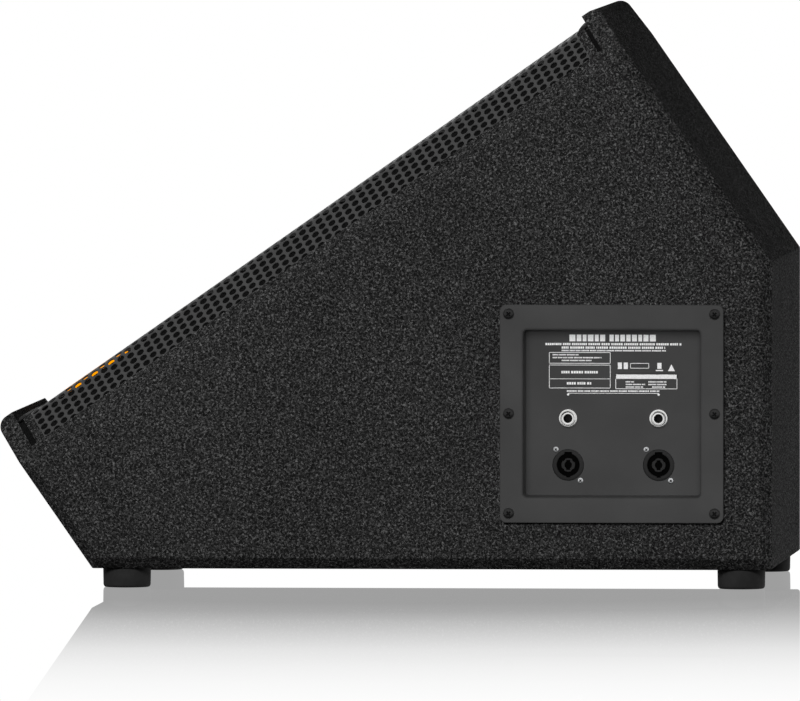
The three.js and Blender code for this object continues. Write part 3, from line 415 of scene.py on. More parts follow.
def rubber(level):
    """Matt rubber with a dusty bloom."""
    finish = Finish("rubber", roughness=0.8, specular=0.1)
    dust = finish.noise(60, detail=6, roughness=0.7)
    skin = finish.noise(700, detail=2)
    finish.colour(finish.ramp(dust, ((0.4, level), (0.62, level * 1.3), (0.85, level * 2.2))))
    finish.bump(skin, 0.06, 0.5)
    return finish.material


TARNISH = 0.8


def metal(name, colour, roughness=(0.2, 0.35), brushed=None):
    """Bare or plated metal, with light tarnish and, where brushed, fine lines along one axis."""
    finish = Finish(name, metallic=1.0)
    stain = finish.noise(90, detail=5)
    dull = tuple(c * TARNISH for c in colour)
    finish.colour(finish.ramp(stain, ((0.35, colour), (0.8, dull))))
    if brushed:
        lines = finish.noise(1, place=finish.stretched(brushed))
    else:
        lines = finish.noise(800)
    finish.roughen(stain, *roughness)
    finish.bump(lines, 0.01, 0.4)
    return finish.material


def foam():
    """Black open-cell foam."""
    finish = Finish("foam", roughness=1.0, specular=0.1)
    pores = finish.cells(900)
    finish.colour(finish.ramp(pores, ((0.1, 0.001), (0.6, 0.006))))
    finish.bump(pores, 0.4, 0.9)
    return finish.material


def glowing_amber_plate():
    """Plain amber plate, a little uneven in tone, with a painted glow that keeps it bright where little light
    reaches it under the sheet.
    """
    finish = Finish("glowing_amber_plate", specular=0.5)
    tone = finish.noise(9, detail=2)
    finish.colour(finish.ramp(tone, ((0.3, (0.95, 0.30, 0.0)), (0.7, (1.0, 0.42, 0.01)))))
    finish.roughen(finish.noise(40, detail=4), 0.22, 0.36)
    # Painted light: the emission makes the plate glow, though nothing lights it from within.
    finish.shader.inputs["Emission Color"].default_value = (1.0, 0.36, 0.0, 1)
    finish.shader.inputs["Emission Strength"].default_value = 1.1
    return finish.material


def paper(name, level):
    """Pressed pulp with short fibres."""
    finish = Finish(name, roughness=0.85, specular=0.25)
    fibres = finish.noise(240, detail=6, roughness=0.7, distortion=1.2)
    finish.colour(finish.ramp(fibres, ((0.35, level * 0.7), (0.55, level), (0.75, level * 2.0))))
    finish.bump(fibres, 0.15, 0.7)
    return finish.material


def cloth(name, light, dark):
    """Woven cloth: two sets of crossing threads."""
    finish = Finish(name, roughness=0.9, specular=0.2)
    close, long = 1100, 90
    warp = finish.noise(1, detail=0, place=finish.stretched((close, long, close)))
    weft = finish.noise(1, detail=0, place=finish.stretched((long, close, long)))
    weave = maths(finish.tree, "MULTIPLY", warp, weft)
    finish.colour(finish.ramp(weave, ((0.15, dark), (0.4, light))))
    finish.bump(weave, 0.2, 0.8)
    return finish.material


def bare_wood():
    """Softwood with long grain."""
    finish = Finish("bare_wood", roughness=0.7, specular=0.3)
    grain = finish.noise(1, detail=5, roughness=0.6, place=finish.stretched((14, 220, 220)))
    finish.colour(finish.ramp(grain, ((0.3, (0.30, 0.17, 0.08)), (0.7, (0.55, 0.38, 0.20)))))
    finish.bump(grain, 0.2, 0.5)
    return finish.material


def white_print():
    """Screen-printed ink, thin enough to look slightly uneven."""
    finish = Finish("white_print", roughness=0.6, specular=0.3)
    ink = finish.noise(900, detail=3)
    finish.colour(finish.ramp(ink, ((0.3, 0.8), (0.6, 0.95))))
    return finish.material


COAT = textured_coat()
GRILLE_STEEL = grille_steel()
PANEL_PLASTIC = moulded("panel_plastic", 0.055, specular=0.12)
BLACK_PLASTIC = moulded("black_plastic", 0.018, roughness=(0.35, 0.5), specular=0.12)
HORN_PLASTIC = moulded("horn_plastic", 0.012, roughness=(0.3, 0.5), specular=0.25)
RUBBER = rubber(0.019)
NICKEL = metal("nickel", (0.86, 0.86, 0.85), (0.12, 0.24))
ZINC = metal("zinc_plate", (0.62, 0.63, 0.64), (0.3, 0.42))
SCREW_BLACK = moulded("black_oxide", 0.006, grain=500, roughness=(0.22, 0.34), specular=0.3)
# Painted shade: a near-black plastic for the socket faces that lie deep in the mouth, where shade falls.
SOCKET_DEPTH_SHADE = moulded("socket_painted_depth_shade", 0.0015, roughness=(0.6, 0.8), specular=0.02)
# Painted shade: a near-black material for the inside of screw cross recesses, standing in for the shade in
# the recess.
RECESS_PAINTED_SHADE = moulded("screw_recess_painted_shade", 0.003, roughness=(0.4, 0.6), specular=0.1)
FOAM = foam()
GLOWING_AMBER = glowing_amber_plate()
CAST_METAL = moulded("cast_metal", 0.02, grain=420, depth=0.12, roughness=(0.4, 0.6), specular=0.5)
CONE_PAPER = paper("cone_paper", 0.02)
SPIDER_CLOTH = cloth("spider_cloth", (0.50, 0.33, 0.12), (0.28, 0.16, 0.05))
SURROUND_CLOTH = cloth("surround_cloth", (0.035, 0.035, 0.035), (0.012, 0.012, 0.012))
WADDING = paper("wadding", 0.45)
FERRITE = moulded("ferrite", 0.035, grain=300, depth=0.1, roughness=(0.5, 0.7))
COPPER = metal("enamelled_wire", (0.72, 0.30, 0.14), (0.25, 0.4), brushed=(40, 2600, 40))
BOARD_GREEN = moulded("solder_mask", 0.03)
TITANIUM = metal("titanium", (0.55, 0.54, 0.53), (0.25, 0.4))
WOOD = bare_wood()
BAFFLE_PAINT = moulded("baffle_paint", 0.008, grain=500, depth=0.1, roughness=(0.7, 0.85), specular=0.15)
INK = white_print()


# ---- Cabinet ----


def half_space(normal, point):
    """A plane as (unit normal, distance from the origin). What lies beyond it is cut away."""
    normal = Vector(normal).normalized()
    return normal, normal.dot(Vector(point))


def clipped(loops, planes):
    """A convex solid, as loops of points in millimetres, cut down to the inside of the planes."""
    near = 0.001
    for normal, distance in planes:
        kept, rim = [], []
        for loop in loops:
            cut = []
            for a, b in zip(loop, loop[1:] + loop[:1]):
                above_a, above_b = normal.dot(a) - distance, normal.dot(b) - distance
                if above_a <= near:
                    cut.append(a)
                if (above_a > near and above_b < -near) or (above_a < -near and above_b > near):
                    cut.append(a.lerp(b, above_a / (above_a - above_b)))
            on_plane = [p for p in cut if abs(normal.dot(p) - distance) <= near]
            rim += on_plane
            if len(cut) >= 3 and len(on_plane) < len(cut):
                kept.append(cut)
        rim = distinct(rim)
        if len(rim) >= 3:
            kept.append(around(rim, normal))
        loops = kept
    return loops


def distinct(points, nearness=3):
    return list({tuple(round(c, nearness) for c in p): p for p in points}.values())


def around(points, normal):
    """Points of a convex outline put in order about their middle."""
    middle = sum(points, Vector()) / len(points)
    across = normal.orthogonal().normalized()
    other = normal.cross(across)
    return sorted(points, key=lambda p: math.atan2((p - middle).dot(other), (p - middle).dot(across)))


def meeting_faces(loops):
    """Pairs of faces of a convex solid that share an edge, as (a point on the edge, normal, normal)."""
    sides = {}
    for loop in loops:
        loop = distinct(loop)
        if len(loop) < 3:
            continue
        normal = outward(loop, loops)
        for a, b in zip(loop, loop[1:] + loop[:1]):
            key = frozenset(tuple(round(c, 2) for c in p) for p in (a, b))
            sides.setdefault(key, []).append((a, normal))
    return [(two[0][0], two[0][1], two[1][1]) for two in sides.values() if len(two) == 2]


def outward(loop, loops):
    normal = Vector()
    for a, b in zip(loop, loop[1:] + loop[:1]):
        normal += (a - loop[0]).cross(b - loop[0])
    normal.normalize()
    inner_point = sum((other[0] for other in loops), Vector()) / len(loops)
    return normal if normal.dot(loop[0] - inner_point) > 0 else -normal


def rounding(loops, radius, sharpness=22, facets=4):
    """Narrow planes that round every sharp edge of a convex solid."""
    planes = []
    for point, first, second in meeting_faces(loops):
        angle = first.angle(second)
        if angle < math.radians(sharpness):
            continue
        axis = point - radius * (first + second) / (1 + first.dot(second))
        for i in range(1, facets):
            normal = first.slerp(second, i / facets)
            planes.append((normal, normal.dot(axis) + radius))
    return planes


def convex(loops):
    """Points and faces of the convex solid whose corners the loops give."""
    bm = bmesh.new()
    for p in distinct([p for loop in loops for p in loop], 2):
        bm.verts.new(p)
    hull = bmesh.ops.convex_hull(bm, input=bm.verts)
    bmesh.ops.delete(bm, geom=hull["geom_interior"], context="VERTS")
    weld, flat_within = 0.02, math.radians(0.3)
    bmesh.ops.remove_doubles(bm, verts=bm.verts, dist=weld)
    bmesh.ops.dissolve_limit(bm, angle_limit=flat_within, verts=bm.verts, edges=bm.edges)
    bm.verts.index_update()
    points = [tuple(v.co) for v in bm.verts]
    faces = [[v.index for v in face.verts] for face in bm.faces]
    bm.free()
    return points, faces


def outline_planes():
    """The faces that run across the cabinet, with the round corner of each lip as narrow facets."""
    up, out = Vector((COS, 0, SIN)), Vector((-SIN, 0, COS))
    planes = [
        half_space((0, 0, -1), (0, 0, BOTTOM_Z)),
        half_space((1, 0, 0), (REAR_X, 0, 0)),
        half_space(up, UPPER_LIP),
        half_space(out, UPPER_LIP),
        half_space(-up, LOWER_LIP),
    ]
    facets = 10
    for corner, inward, first in ((UPPER_LIP, -up, up), (LOWER_LIP, up, out)):
        centre = corner + LIP_CORNER_RADIUS * (inward - out)
        turn = Matrix.Rotation(-math.pi / 2 / facets, 3, "Y")
        normal = first.copy()
        for _ in range(facets - 1):
            normal = turn @ normal
            planes.append(half_space(normal, centre + LIP_CORNER_RADIUS * normal))
    return planes


def cabinet_envelope():
    """The cabinet as one convex block with every edge chamfered, and rounded as the thick coat rounds it."""
    ample = 1000
    points, faces = box_shape((-ample, -ample, -ample), (ample, ample, ample))
    loops = [[Vector(points[i]) for i in face] for face in faces]
    planes = outline_planes()
    chamfers = []
    for side in (-1, 1):
        beside = Vector((0, side, 0))
        chamfers.append(half_space(beside, beside * SIDE_FACE))
        for normal, distance in planes:
            edge = normal * distance + beside * (SIDE_FACE - EDGE_CHAMFER)
            chamfers.append(half_space(normal + beside, edge))
        wide = SLOPE.to_3x3() @ Vector((0, side * SIDE_BEVEL_DROP, SIDE_BEVEL_WIDTH))
        chamfers.append(half_space(wide, SLOPE @ Vector((0, side * (SIDE_FACE - SIDE_BEVEL_WIDTH), 0))))
    sharp = clipped(loops, planes + chamfers)
    return clipped(sharp, rounding(sharp, COAT_EDGE_RADIUS))


def board(name, envelope, planes, stands_for, openings=()):
    """One board of the cabinet: the part of the envelope inside some planes, less its openings."""
    obj = make(name, convex(clipped(envelope, planes)), angle=20)
    if openings:
        carve(obj, openings, angle=20)
    return piece(obj, COAT, [stands_for])


def opening(place, length, height, radius):
    """A cutter with a rounded rectangle for its section, right through a side board."""
    reach = 40
    rings = [rounded_ring(length, height, radius, z) for z in (-reach, reach)]
    return make("opening", lofted(rings), place)


def cabinet():
    envelope = cabinet_envelope()
    inside = [half_space((0, side, 0), (0, side * SIDE_INSIDE, 0)) for side in (-1, 1)]
    up = Vector((COS, 0, SIN))
    front_inner = LOWER_LIP + END_BOARD * up
    back_inner = UPPER_LIP - END_BOARD * up
    rear_inner = (REAR_X - END_BOARD, 0, 0)
    near_side = [half_space((0, 1, 0), (0, -SIDE_INSIDE, 0))]
    far_side = [half_space((0, -1, 0), (0, SIDE_INSIDE, 0))]
    front = [*inside, half_space(up, front_inner)]
    back = [*inside, half_space(-up, back_inner)]
    rear = [*inside, half_space(up, back_inner), half_space((-1, 0, 0), rear_inner)]
    bottom = [
        *inside,
        half_space(-up, front_inner),
        half_space((1, 0, 0), rear_inner),
        half_space((0, 0, 1), (0, 0, BOTTOM_Z + END_BOARD)),
    ]
    terminal_room, handle_room = 8, 9
    terminal_hole = opening(
        TERMINAL, RECESS_LENGTH + terminal_room, RECESS_HEIGHT + terminal_room, PANEL_CORNER
    )
    handle_hole = opening(HANDLE, CUP_LENGTH + handle_room, CUP_HEIGHT + handle_room, CUP_CORNER)
    board("coat_terminal_side", envelope, near_side, "terminal_side_panel", [terminal_hole])
    board("coat_handle_side", envelope, far_side, "handle_side_panel", [handle_hole])
    board("coat_lower_front", envelope, front, "lower_front_panel")
    board("coat_back_slope", envelope, back, "back_slope_panel")
    board("coat_rear", envelope, rear, "rear_panel")
    board("coat_bottom", envelope, bottom, "bottom_panel")


# ---- Grille ----

GRILLE_START = 19.8
GRILLE_DEPTH = 9.3
CROWN_LOWER, CROWN_UPPER = 1.3, 4.0
GRILLE_SHEET = 1.2
GRILLE_END = 549.6
COLUMN_PITCH = 7.8
COLUMNS = 66
END_MARGIN = (GRILLE_END - GRILLE_START - COLUMNS * COLUMN_PITCH) / 2
FOLD_AT = SIDE_FACE - SIDE_BEVEL_WIDTH + GRILLE_DEPTH * SIDE_BEVEL_WIDTH / SIDE_BEVEL_DROP
FLANGE_STEPS = 9
STEPS_ACROSS = 122
HALF_ROW = FOLD_AT / (STEPS_ACROSS / 2 - FLANGE_STEPS)
FOLD_ANGLE = math.atan2(SIDE_BEVEL_DROP, SIDE_BEVEL_WIDTH)
FOLD_RADIUS = 8
FOLD_TANGENT = FOLD_RADIUS * math.tan(FOLD_ANGLE / 2)
HOLE_ACROSS = 2.5
HOLE_STRETCH = 1.24
HOLE_ROLL = 0.35
BADGE_START, BADGE_LENGTH, BADGE_WIDTH = 47.8, 51, 100
BADGE_TOP, BADGE_BOTTOM = -7.2, -GRILLE_DEPTH - GRILLE_SHEET - 0.1


def crowned(along, across):
    """How far the sheet bows out above its folds, a little more towards its upper end."""
    bow = CROWN_LOWER + (CROWN_UPPER - CROWN_LOWER) * along / SLOPE_LENGTH
    return bow * (1 - (across / FOLD_AT) ** 2)


def folded(along, across, depth):
    """A point of the flat sheet, at a depth below its face, after the two flanges are folded down."""
    side = 1 if across > 0 else -1
    past = abs(across) - FOLD_AT
    if past < -FOLD_TANGENT:
        return along, across, crowned(along, across) - GRILLE_DEPTH - depth
    turn = FOLD_ANGLE * min((past + FOLD_TANGENT) / (2 * FOLD_TANGENT), 1)
    straight = max(past - FOLD_TANGENT, 0)
    inner = FOLD_RADIUS - depth
    y = FOLD_AT - FOLD_TANGENT + inner * math.sin(turn) + straight * math.cos(turn)
    z = -GRILLE_DEPTH - FOLD_RADIUS + inner * math.cos(turn) - straight * math.sin(turn)
    return along, side * y, z + crowned(along, FOLD_AT - FOLD_TANGENT) * (1 - turn / FOLD_ANGLE)


class PerforatedSheet:
    """A folded sheet with staggered, slightly oval holes, as points and faces."""

    def __init__(self):
        self.points = []
        self.faces = []
        self.known = {}

    def vertex(self, along, across, depth):
        key = (round(along, 3), round(across, 3), round(depth, 3))
        if key not in self.known:
            self.known[key] = len(self.points)
            self.points.append(folded(*key))
        return self.known[key]

    def face(self, loop, depth):
        corners = [self.vertex(along, across, depth) for along, across in loop]
        self.faces.append(corners if depth == 0 else corners[::-1])

    def plain(self, loop):
        for depth in (0, GRILLE_SHEET):
            self.face(loop, depth)

    def holed(self, loop, centre, sides, rolled):
        """A cell with a hole: each layer joined to its circle, and the wall between the circles."""
        circles = []
        for radius, depth in self.wall(rolled):
            turn = [2 * math.pi * i / sides for i in range(sides)]
            circles.append(([punched(centre, radius, t) for t in turn], depth))
        for circle, depth in (circles[0], circles[-1]):
            for triangle in zipped(loop, circle, centre):
                self.face(triangle, depth)
        for (upper, high), (lower, low) in zip(circles, circles[1:]):
            for i in range(sides):
                k = (i + 1) % sides
                top = [self.vertex(*upper[i], high), self.vertex(*upper[k], high)]
                bottom = [self.vertex(*lower[k], low), self.vertex(*lower[i], low)]
                self.faces.append((top + bottom)[::-1])

    def notched(self, a, b, rim, inner):
        """A cell at the hem, with half a hole cut into its edge."""
        centre = ((a + b) / 2, rim)
        sign = 1 if inner > rim else -1
        arc = [punched(centre, HOLE_ACROSS, sign * math.pi * i / 6) for i in range(7)]
        self.plain([(a, inner), (b, inner), (b, rim), *arc, (a, rim)])

    def close_rim(self):
        """Walls between the two layers along every edge that only one face uses."""
        used = Counter(side for face in self.faces for side in sides_of(face))
        keys = list(self.known)
        for face in list(self.faces):
            for side in sides_of(face):
                if used[side] == 1 and all(keys[i][2] == 0 for i in side):
                    top = sorted(side)
                    below = [self.vertex(*keys[i][:2], GRILLE_SHEET) for i in top]
                    self.faces.append([top[0], top[1], below[1], below[0]])

    @staticmethod
    def wall(rolled):
        """The hole's wall as (radius, depth), with the rolled edge that punching leaves."""
        top = [(HOLE_ACROSS + HOLE_ROLL, 0), (HOLE_ACROSS, HOLE_ROLL)] if rolled else [(HOLE_ACROSS, 0)]
        return [*top, (HOLE_ACROSS, GRILLE_SHEET)]


def sides_of(face):
    return [frozenset(pair) for pair in zip(face, face[1:] + face[:1])]


def punched(centre, radius, turn):
    """A point round a hole, which is a little longer up the slope than across it."""
    return centre[0] + HOLE_STRETCH * radius * math.cos(turn), centre[1] + radius * math.sin(turn)


def zipped(outer, inner, centre):
    """Triangles between two loops round a centre, both running the same way."""

    def angles(loop):
        return [math.atan2(p[1] - centre[1], p[0] - centre[0]) % (2 * math.pi) for p in loop]

    def ordered(loop):
        turns = [a if a < 2 * math.pi - 1e-6 else 0.0 for a in angles(loop)]
        order = sorted(range(len(loop)), key=lambda i: turns[i])
        return [(turns[i], loop[i]) for i in order]

    outer, inner = ordered(outer), ordered(inner)
    i = j = 0
    triangles = []
    while i < len(outer) or j < len(inner):
        next_outer = outer[i + 1][0] if i + 1 < len(outer) else 2 * math.pi + outer[0][0]
        next_inner = inner[j + 1][0] if j + 1 < len(inner) else 2 * math.pi + inner[0][0]
        a, b = outer[i % len(outer)][1], inner[j % len(inner)][1]
        if j >= len(inner) or (i < len(outer) and next_outer <= next_inner):
            triangles.append((a, outer[(i + 1) % len(outer)][1], b))
            i += 1
        else:
            triangles.append((a, inner[(j + 1) % len(inner)][1], b))
            j += 1
    return triangles


def under_badge(along, across):
    middle = BADGE_START + BADGE_LENGTH / 2
    return abs(along - middle) < BADGE_LENGTH / 2 - 1 and abs(across) < BADGE_WIDTH / 2 - 1


def grille():
    sheet = PerforatedSheet()
    across = [(k - STEPS_ACROSS / 2) * HALF_ROW for k in range(STEPS_ACROSS + 1)]
    stations = [GRILLE_START + END_MARGIN + i * COLUMN_PITCH for i in range(COLUMNS + 1)]
    for k in range(STEPS_ACROSS):
        for a, b in ((GRILLE_START, stations[0]), (stations[-1], GRILLE_END)):
            sheet.plain([(a, across[k]), (b, across[k]), (b, across[k + 1]), (a, across[k + 1])])
    for column, (a, b) in enumerate(zip(stations, stations[1:])):
        staggered = column % 2
        if staggered:
            sheet.notched(a, b, across[0], across[1])
            sheet.notched(a, b, across[-1], across[-2])
        for k in range(1 + staggered, STEPS_ACROSS - staggered, 2):
            loop = [(b, across[k]), (b, across[k + 1]), (a, across[k + 1])]
            loop += [(a, across[k]), (a, across[k - 1]), (b, across[k - 1])]
            centre = ((a + b) / 2, across[k])
            on_flange = min(k, STEPS_ACROSS - k) <= FLANGE_STEPS + 1
            if under_badge(*centre):
                sheet.plain(loop)
            else:
                sheet.holed(loop, centre, 10 if on_flange else 8, on_flange)
    sheet.close_rim()
    obj = make("perforated_grille", (sheet.points, sheet.faces), SLOPE, angle=35)
    piece(obj, GRILLE_STEEL, ["grille"])
    paint(obj, SLOPE, COAT, lambda p: not stations[0] < p.x < stations[-1])


def slot_seals():
    """Foam that closes the slot between each end of the grille and the board beside it."""
    section = ((33.5, 176), (29, 174), (14, 162), (11, 158))
    for word, a, b in (("lower", 15.1, 19.6), ("upper", 549.8, 552.9)):
        rings = [[(a, -half, -z), (b, -half, -z), (b, half, -z), (a, half, -z)] for z, half in section]
        piece(make(f"slot_seal_{word}", lofted(rings), SLOPE), FOAM)


def grille_fittings():
    """Amber badge through the sheet, and the rubber strips beside the two lips."""
    top, bottom, corner = BADGE_TOP, BADGE_BOTTOM, 4
    levels = ((0.8, bottom), (0, bottom + 0.4), (0, top - 0.3), (0.3, top - 0.1), (0.9, top))
    rings = [rounded_ring(BADGE_LENGTH - inset, BADGE_WIDTH - inset, corner, z) for inset, z in levels]
    middle = moved(SLOPE, BADGE_START + BADGE_LENGTH / 2)
    piece(make("amber_badge", lofted(rings), middle), GLOWING_AMBER, ["grille_badge"])

    width, height, above_sheet = 8, 2.1, 0.3
    half = FOLD_AT - 3.4
    turns = [math.pi * i / 12 for i in range(13)]
    section = [(width / 2 * math.cos(t), height * math.sin(t)) for t in turns]
    for word, start in (("lower", 15.6), ("upper", 544.4)):
        place = moved(SLOPE, start + width / 2, 0, above_sheet - GRILLE_DEPTH)
        body = [((half - 1) * i / 6, 1) for i in range(-6, 7)]
        rings = [
            [(x * shrink, y, z * shrink + crowned(start, y)) for x, z in section]
            for y, shrink in ((-half, 0.7), *body, (half, 0.7))
        ]
        strip = make(f"end_strip_{word}", lofted(rings), place)
        piece(strip, RUBBER, [f"grille_strip_{word}"])


# ---- Screws and feet ----


def cross_screw(name, place, radius, height, material, stands_for=(), shank=0.0):
    """Flat-topped pan head with a cross recess darkened by painted shade, its underside at Z = 0 of the
    place.
    """
    turns = [math.pi / 2 * i / 6 for i in range(7)]
    edge = 0.55
    dome = [(radius * (1 - edge * (1 - math.cos(t))), height * (0.3 + 0.6 * math.sin(t))) for t in turns]
    profile = [(radius, 0), *dome, (0, height)]
    if shank:
        profile = [(0, -shank), (radius * 0.45, 3 - shank), (radius * 0.45, 0), *profile]
    else:
        profile = [(0, 0), *profile]
    head = make(name, turned(profile, 40), place)
    arm, slit, floor = radius * 0.62, radius * 0.17, height * 0.2
    blades = []
    for turn in (40, 130):
        blade = lofted([
            [(-a, -b, z), (a, -b, z), (a, b, z), (-a, b, z)]
            for z, a, b in ((floor, arm * 0.55, slit * 0.8), (height * 1.2, arm, slit))
        ])
        blades.append(make("blade", blade, spun(place, turn)))
    carve(head, blades)
    screw = piece(head, material, stands_for)
    # Painted shade: faces inside the cross recess take the dark material, whatever the screw's own finish.
    return paint(screw, place, RECESS_PAINTED_SHADE, lambda p: 0 < p.z < height * 0.85 and math.hypot(p.x, p.y) < arm)


def foot(x, side, word):
    """Round rubber foot with a screw sunk in its pocket."""
    radius, top, pocket, floor, inset = 18.5, BOTTOM_Z, 7, 8, 28
    profile = [
        (0, floor), (pocket - 0.6, floor), (pocket, floor - 0.6), (pocket, 0.5), (pocket + 0.5, 0),
        (radius - 2.4, 0),
        (radius - 1.6, 0.15), (radius - 0.8, 0.7), (radius - 0.4, 1.5), (radius - 0.2, 2.6),
        (radius, top - 1), (radius - 0.4, top), (0, top),
    ]
    place = Matrix.Translation((x, side * (SIDE_FACE - inset), 0))
    body = make(f"rubber_foot_{word}", turned(profile), place, angle=35)
    piece(body, RUBBER, [f"foot_{word}"])
    down = Matrix.Rotation(math.pi, 4, "X")
    cross_screw(f"foot_screw_{word}", moved(place, z=floor) @ down, 4.5, 2, ZINC)


def feet():
    for end, x in (("front", -201), ("rear", 275)):
        for word, side in (("near", -1), ("far", 1)):
            foot(x, side, f"{end}_{word}")


# ---- Terminal panel ----

PLATE_BACK, PLATE_FACE = 1.2, 3.2
RECESS_FLOOR = -18.8
COLUMN_X = 35
JACK_Y = -4.2
SOCKET_Y = -40.3


def terminal_dish():
    """Flanged plate pressed into a dish, with a soft edge round the recess and a fillet at its floor."""
    wall = 5
    levels = [
        (RECESS_LENGTH + wall, RECESS_HEIGHT + wall, 5, RECESS_FLOOR - 3),
        (RECESS_LENGTH + wall, RECESS_HEIGHT + wall, 5, PLATE_BACK),
        (PANEL_LENGTH, PANEL_HEIGHT, PANEL_CORNER, PLATE_BACK),
        (PANEL_LENGTH, PANEL_HEIGHT, PANEL_CORNER, PLATE_FACE - 0.9),
    ]
    for grow, z in rounded_edge(0.9, 4):
        levels.append((PANEL_LENGTH - 2 * grow, PANEL_HEIGHT - 2 * grow, PANEL_CORNER - grow, PLATE_FACE - z))
    lip = 2.2
    for grow, z in rounded_edge(lip, 5)[::-1]:
        levels.append((RECESS_LENGTH + 2 * grow, RECESS_HEIGHT + 2 * grow, 3 + grow, PLATE_FACE - z))
    draft = 1.2
    for inset, rise in ((0, 1.5), (0.1, 0.8), (0.4, 0.4), (0.9, 0.1), (1.5, 0)):
        length, height = RECESS_LENGTH - draft - 2 * inset, RECESS_HEIGHT - draft - 2 * inset
        levels.append((length, height, 3 - inset / 2, RECESS_FLOOR + rise))
    dish = make("moulded_panel", lofted([rounded_ring(*level) for level in levels]), TERMINAL, angle=40)
    holes = []
    for x in (-COLUMN_X, COLUMN_X):
        for y, radius in ((JACK_Y, 5), (SOCKET_Y, 12.2)):
            hole = cylinder(radius, RECESS_FLOOR - 9, RECESS_FLOOR + 9, 64)
            holes.append(make("hole", hole, at_panel(x, y, 0)))
    carve(dish, holes, angle=40)
    piece(dish, PANEL_PLASTIC, ["terminal_dish"])
    panel_screws()


def panel_screws():
    """Six screws down the plate's two sides, each on a thin washer."""
    across, up, washer_height, head, shank = 79.65, 77, 0.28, 3.75, 16
    washer = [(1.9, 0), (4.3, 0), (4.1, washer_height), (1.9, washer_height)]
    spots = [(x * across, y * up) for y in (-1, 0, 1) for x in (-1, 1)]
    for number, (x, y) in enumerate(spots, 1):
        place = at_panel(x, y, PLATE_FACE + 0.3)
        names = [f"terminal_screw_{number}"]
        cross_screw(f"panel_screw_{number}", place, head, 1.85, SCREW_BLACK, names, shank)
        seat = make(f"panel_screw_seat_{number}", turned(washer, 40), at_panel(x, y, PLATE_FACE))
        piece(seat, SCREW_BLACK)


def rounded_edge(radius, steps):
    """Offsets (inwards, down) along a quarter round, from the side to the face."""
    turns = [math.pi / 2 * i / steps for i in range(steps + 1)]
    return [(radius * (1 - math.cos(t)), radius * (1 - math.sin(t))) for t in turns]


def at_panel(x, y, z):
    return moved(TERMINAL, x, y, z)


def input_jack(x, word):
    """Threaded barrel with a bored nose, inside a turned ferrule."""
    place = at_panel(x, JACK_Y, RECESS_FLOOR)
    barrel = [(3.3, -16), (4.75, -16)]
    for i in range(5):
        barrel += [(4.75, 0.3 + i * 0.5), (4.55, 0.55 + i * 0.5)]
    barrel += [(4.75, 2.9), (4.5, 3.2), (3.6, 3.2), (3.3, 2.9)]
    housing = make("housing", lofted([rounded_ring(16, 18, 1.5, z) for z in (-26.9, -3.3)]), place)
    carve(housing, [make("bore", cylinder(3.3, -25, 2, 32), place)])
    plug = make("plug_end", cylinder(3.25, -16, -15, 32), place)
    piece(make(f"jack_barrel_{word}", turned(barrel, 64), place), NICKEL)
    body = gather(f"jack_housing_{word}", [housing, plug])
    piece(body, BLACK_PLASTIC, [f"input_jack_{word}"])
    ferrule = [
        (4.85, 0.1), (7.1, 0.1), (7.3, 0.4), (7.3, 1.5), (6.9, 2.0), (6.3, 2.15), (6.15, 1.9), (5.9, 1.9),
        (5.75, 2.45), (5.2, 2.9), (4.85, 2.8),
    ]
    piece(make(f"jack_nut_{word}", turned(ferrule, 64), place), NICKEL, [f"jack_ferrule_{word}"])


def speaker_socket(x, word):
    """Twist-lock socket: a flanged shell with two keyways in its mouth, and a keyed core."""
    place = at_panel(x, SOCKET_Y, RECESS_FLOOR)
    shell = [
        (10.75, -15), (10.75, -2), (8.75, -1.4), (8.75, -0.5), (9.2, 0), (11.5, 0), (11.9, -0.2),
        (12.0, -0.6), (12.0, -22), (0, -22), (0, -15),
    ]
    mouth = make("mouth", turned(shell[-1:] + shell[:-1], 96), place)
    keyways = [
        make("key", box_shape((-3, 7, -14), (3, 10.1, 2)), place),
        make("key", box_shape((-1.6, -9.7, -14), (1.6, -7, 2)), place),
    ]
    carve(mouth, keyways)
    core = make("core", turned([(0, -15.5), (5.4, -15.5), (5.4, -0.9), (5.0, -0.5), (0, -0.5)], 64), place)
    cuts = [make("well", cylinder(2.9, -12, 2, 32), place)]
    cuts += [make("well", box_shape((-1.5, -3.8, -12), (1.5, 3.8, 2)), place)]
    for turn in (40, 130, 220, 310):
        cuts.append(make("notch", box_shape((4.7, -1.1, -12), (7, 1.1, 2)), spun(place, turn)))
    carve(core, cuts)
    flange = make("flange", lofted([rounded_ring(26, 31, 2.5, z) for z in (-5.3, -3.3)]), place)
    names = [f"speaker_socket_{word}"]
    socket = piece(gather(f"socket_{word}", [mouth, core, flange]), BLACK_PLASTIC, names)
    # Painted shade: faces more than 1.2 mm down in the socket take the near-black material, standing in for
    # the shade deep in its mouth.
    paint(socket, place, SOCKET_DEPTH_SHADE, lambda p: p.z < -1.2)
    for corner, sx, sy in (("upper", -1, 1), ("lower", 1, -1)):
        spot = at_panel(x + sx * 9.5, SOCKET_Y + sy * 12, RECESS_FLOOR)
        cross_screw(f"socket_{word}_screw_{corner}", spot, 2.25, 1.0, ZINC)


def text_row(rng, left, right, bottom, height):
    """Blank upright bars in groups, in place of a line of words."""
    bars = []
    x = left
    while x < right:
        for _ in range(rng.randint(4, 8)):
            end = min(x + height * rng.uniform(0.55, 0.9), right)
            if end - x > 0.2 * height:
                bars.append((x, bottom, end, bottom + height))
            x = end + 0.2 * height
        x += 0.45 * height
    return bars


def outlined(left, bottom, right, top, line=0.45):
    return [
        (left, bottom, right, bottom + line),
        (left, top - line, right, top),
        (left, bottom, left + line, top),
        (right - line, bottom, right, top),
    ]


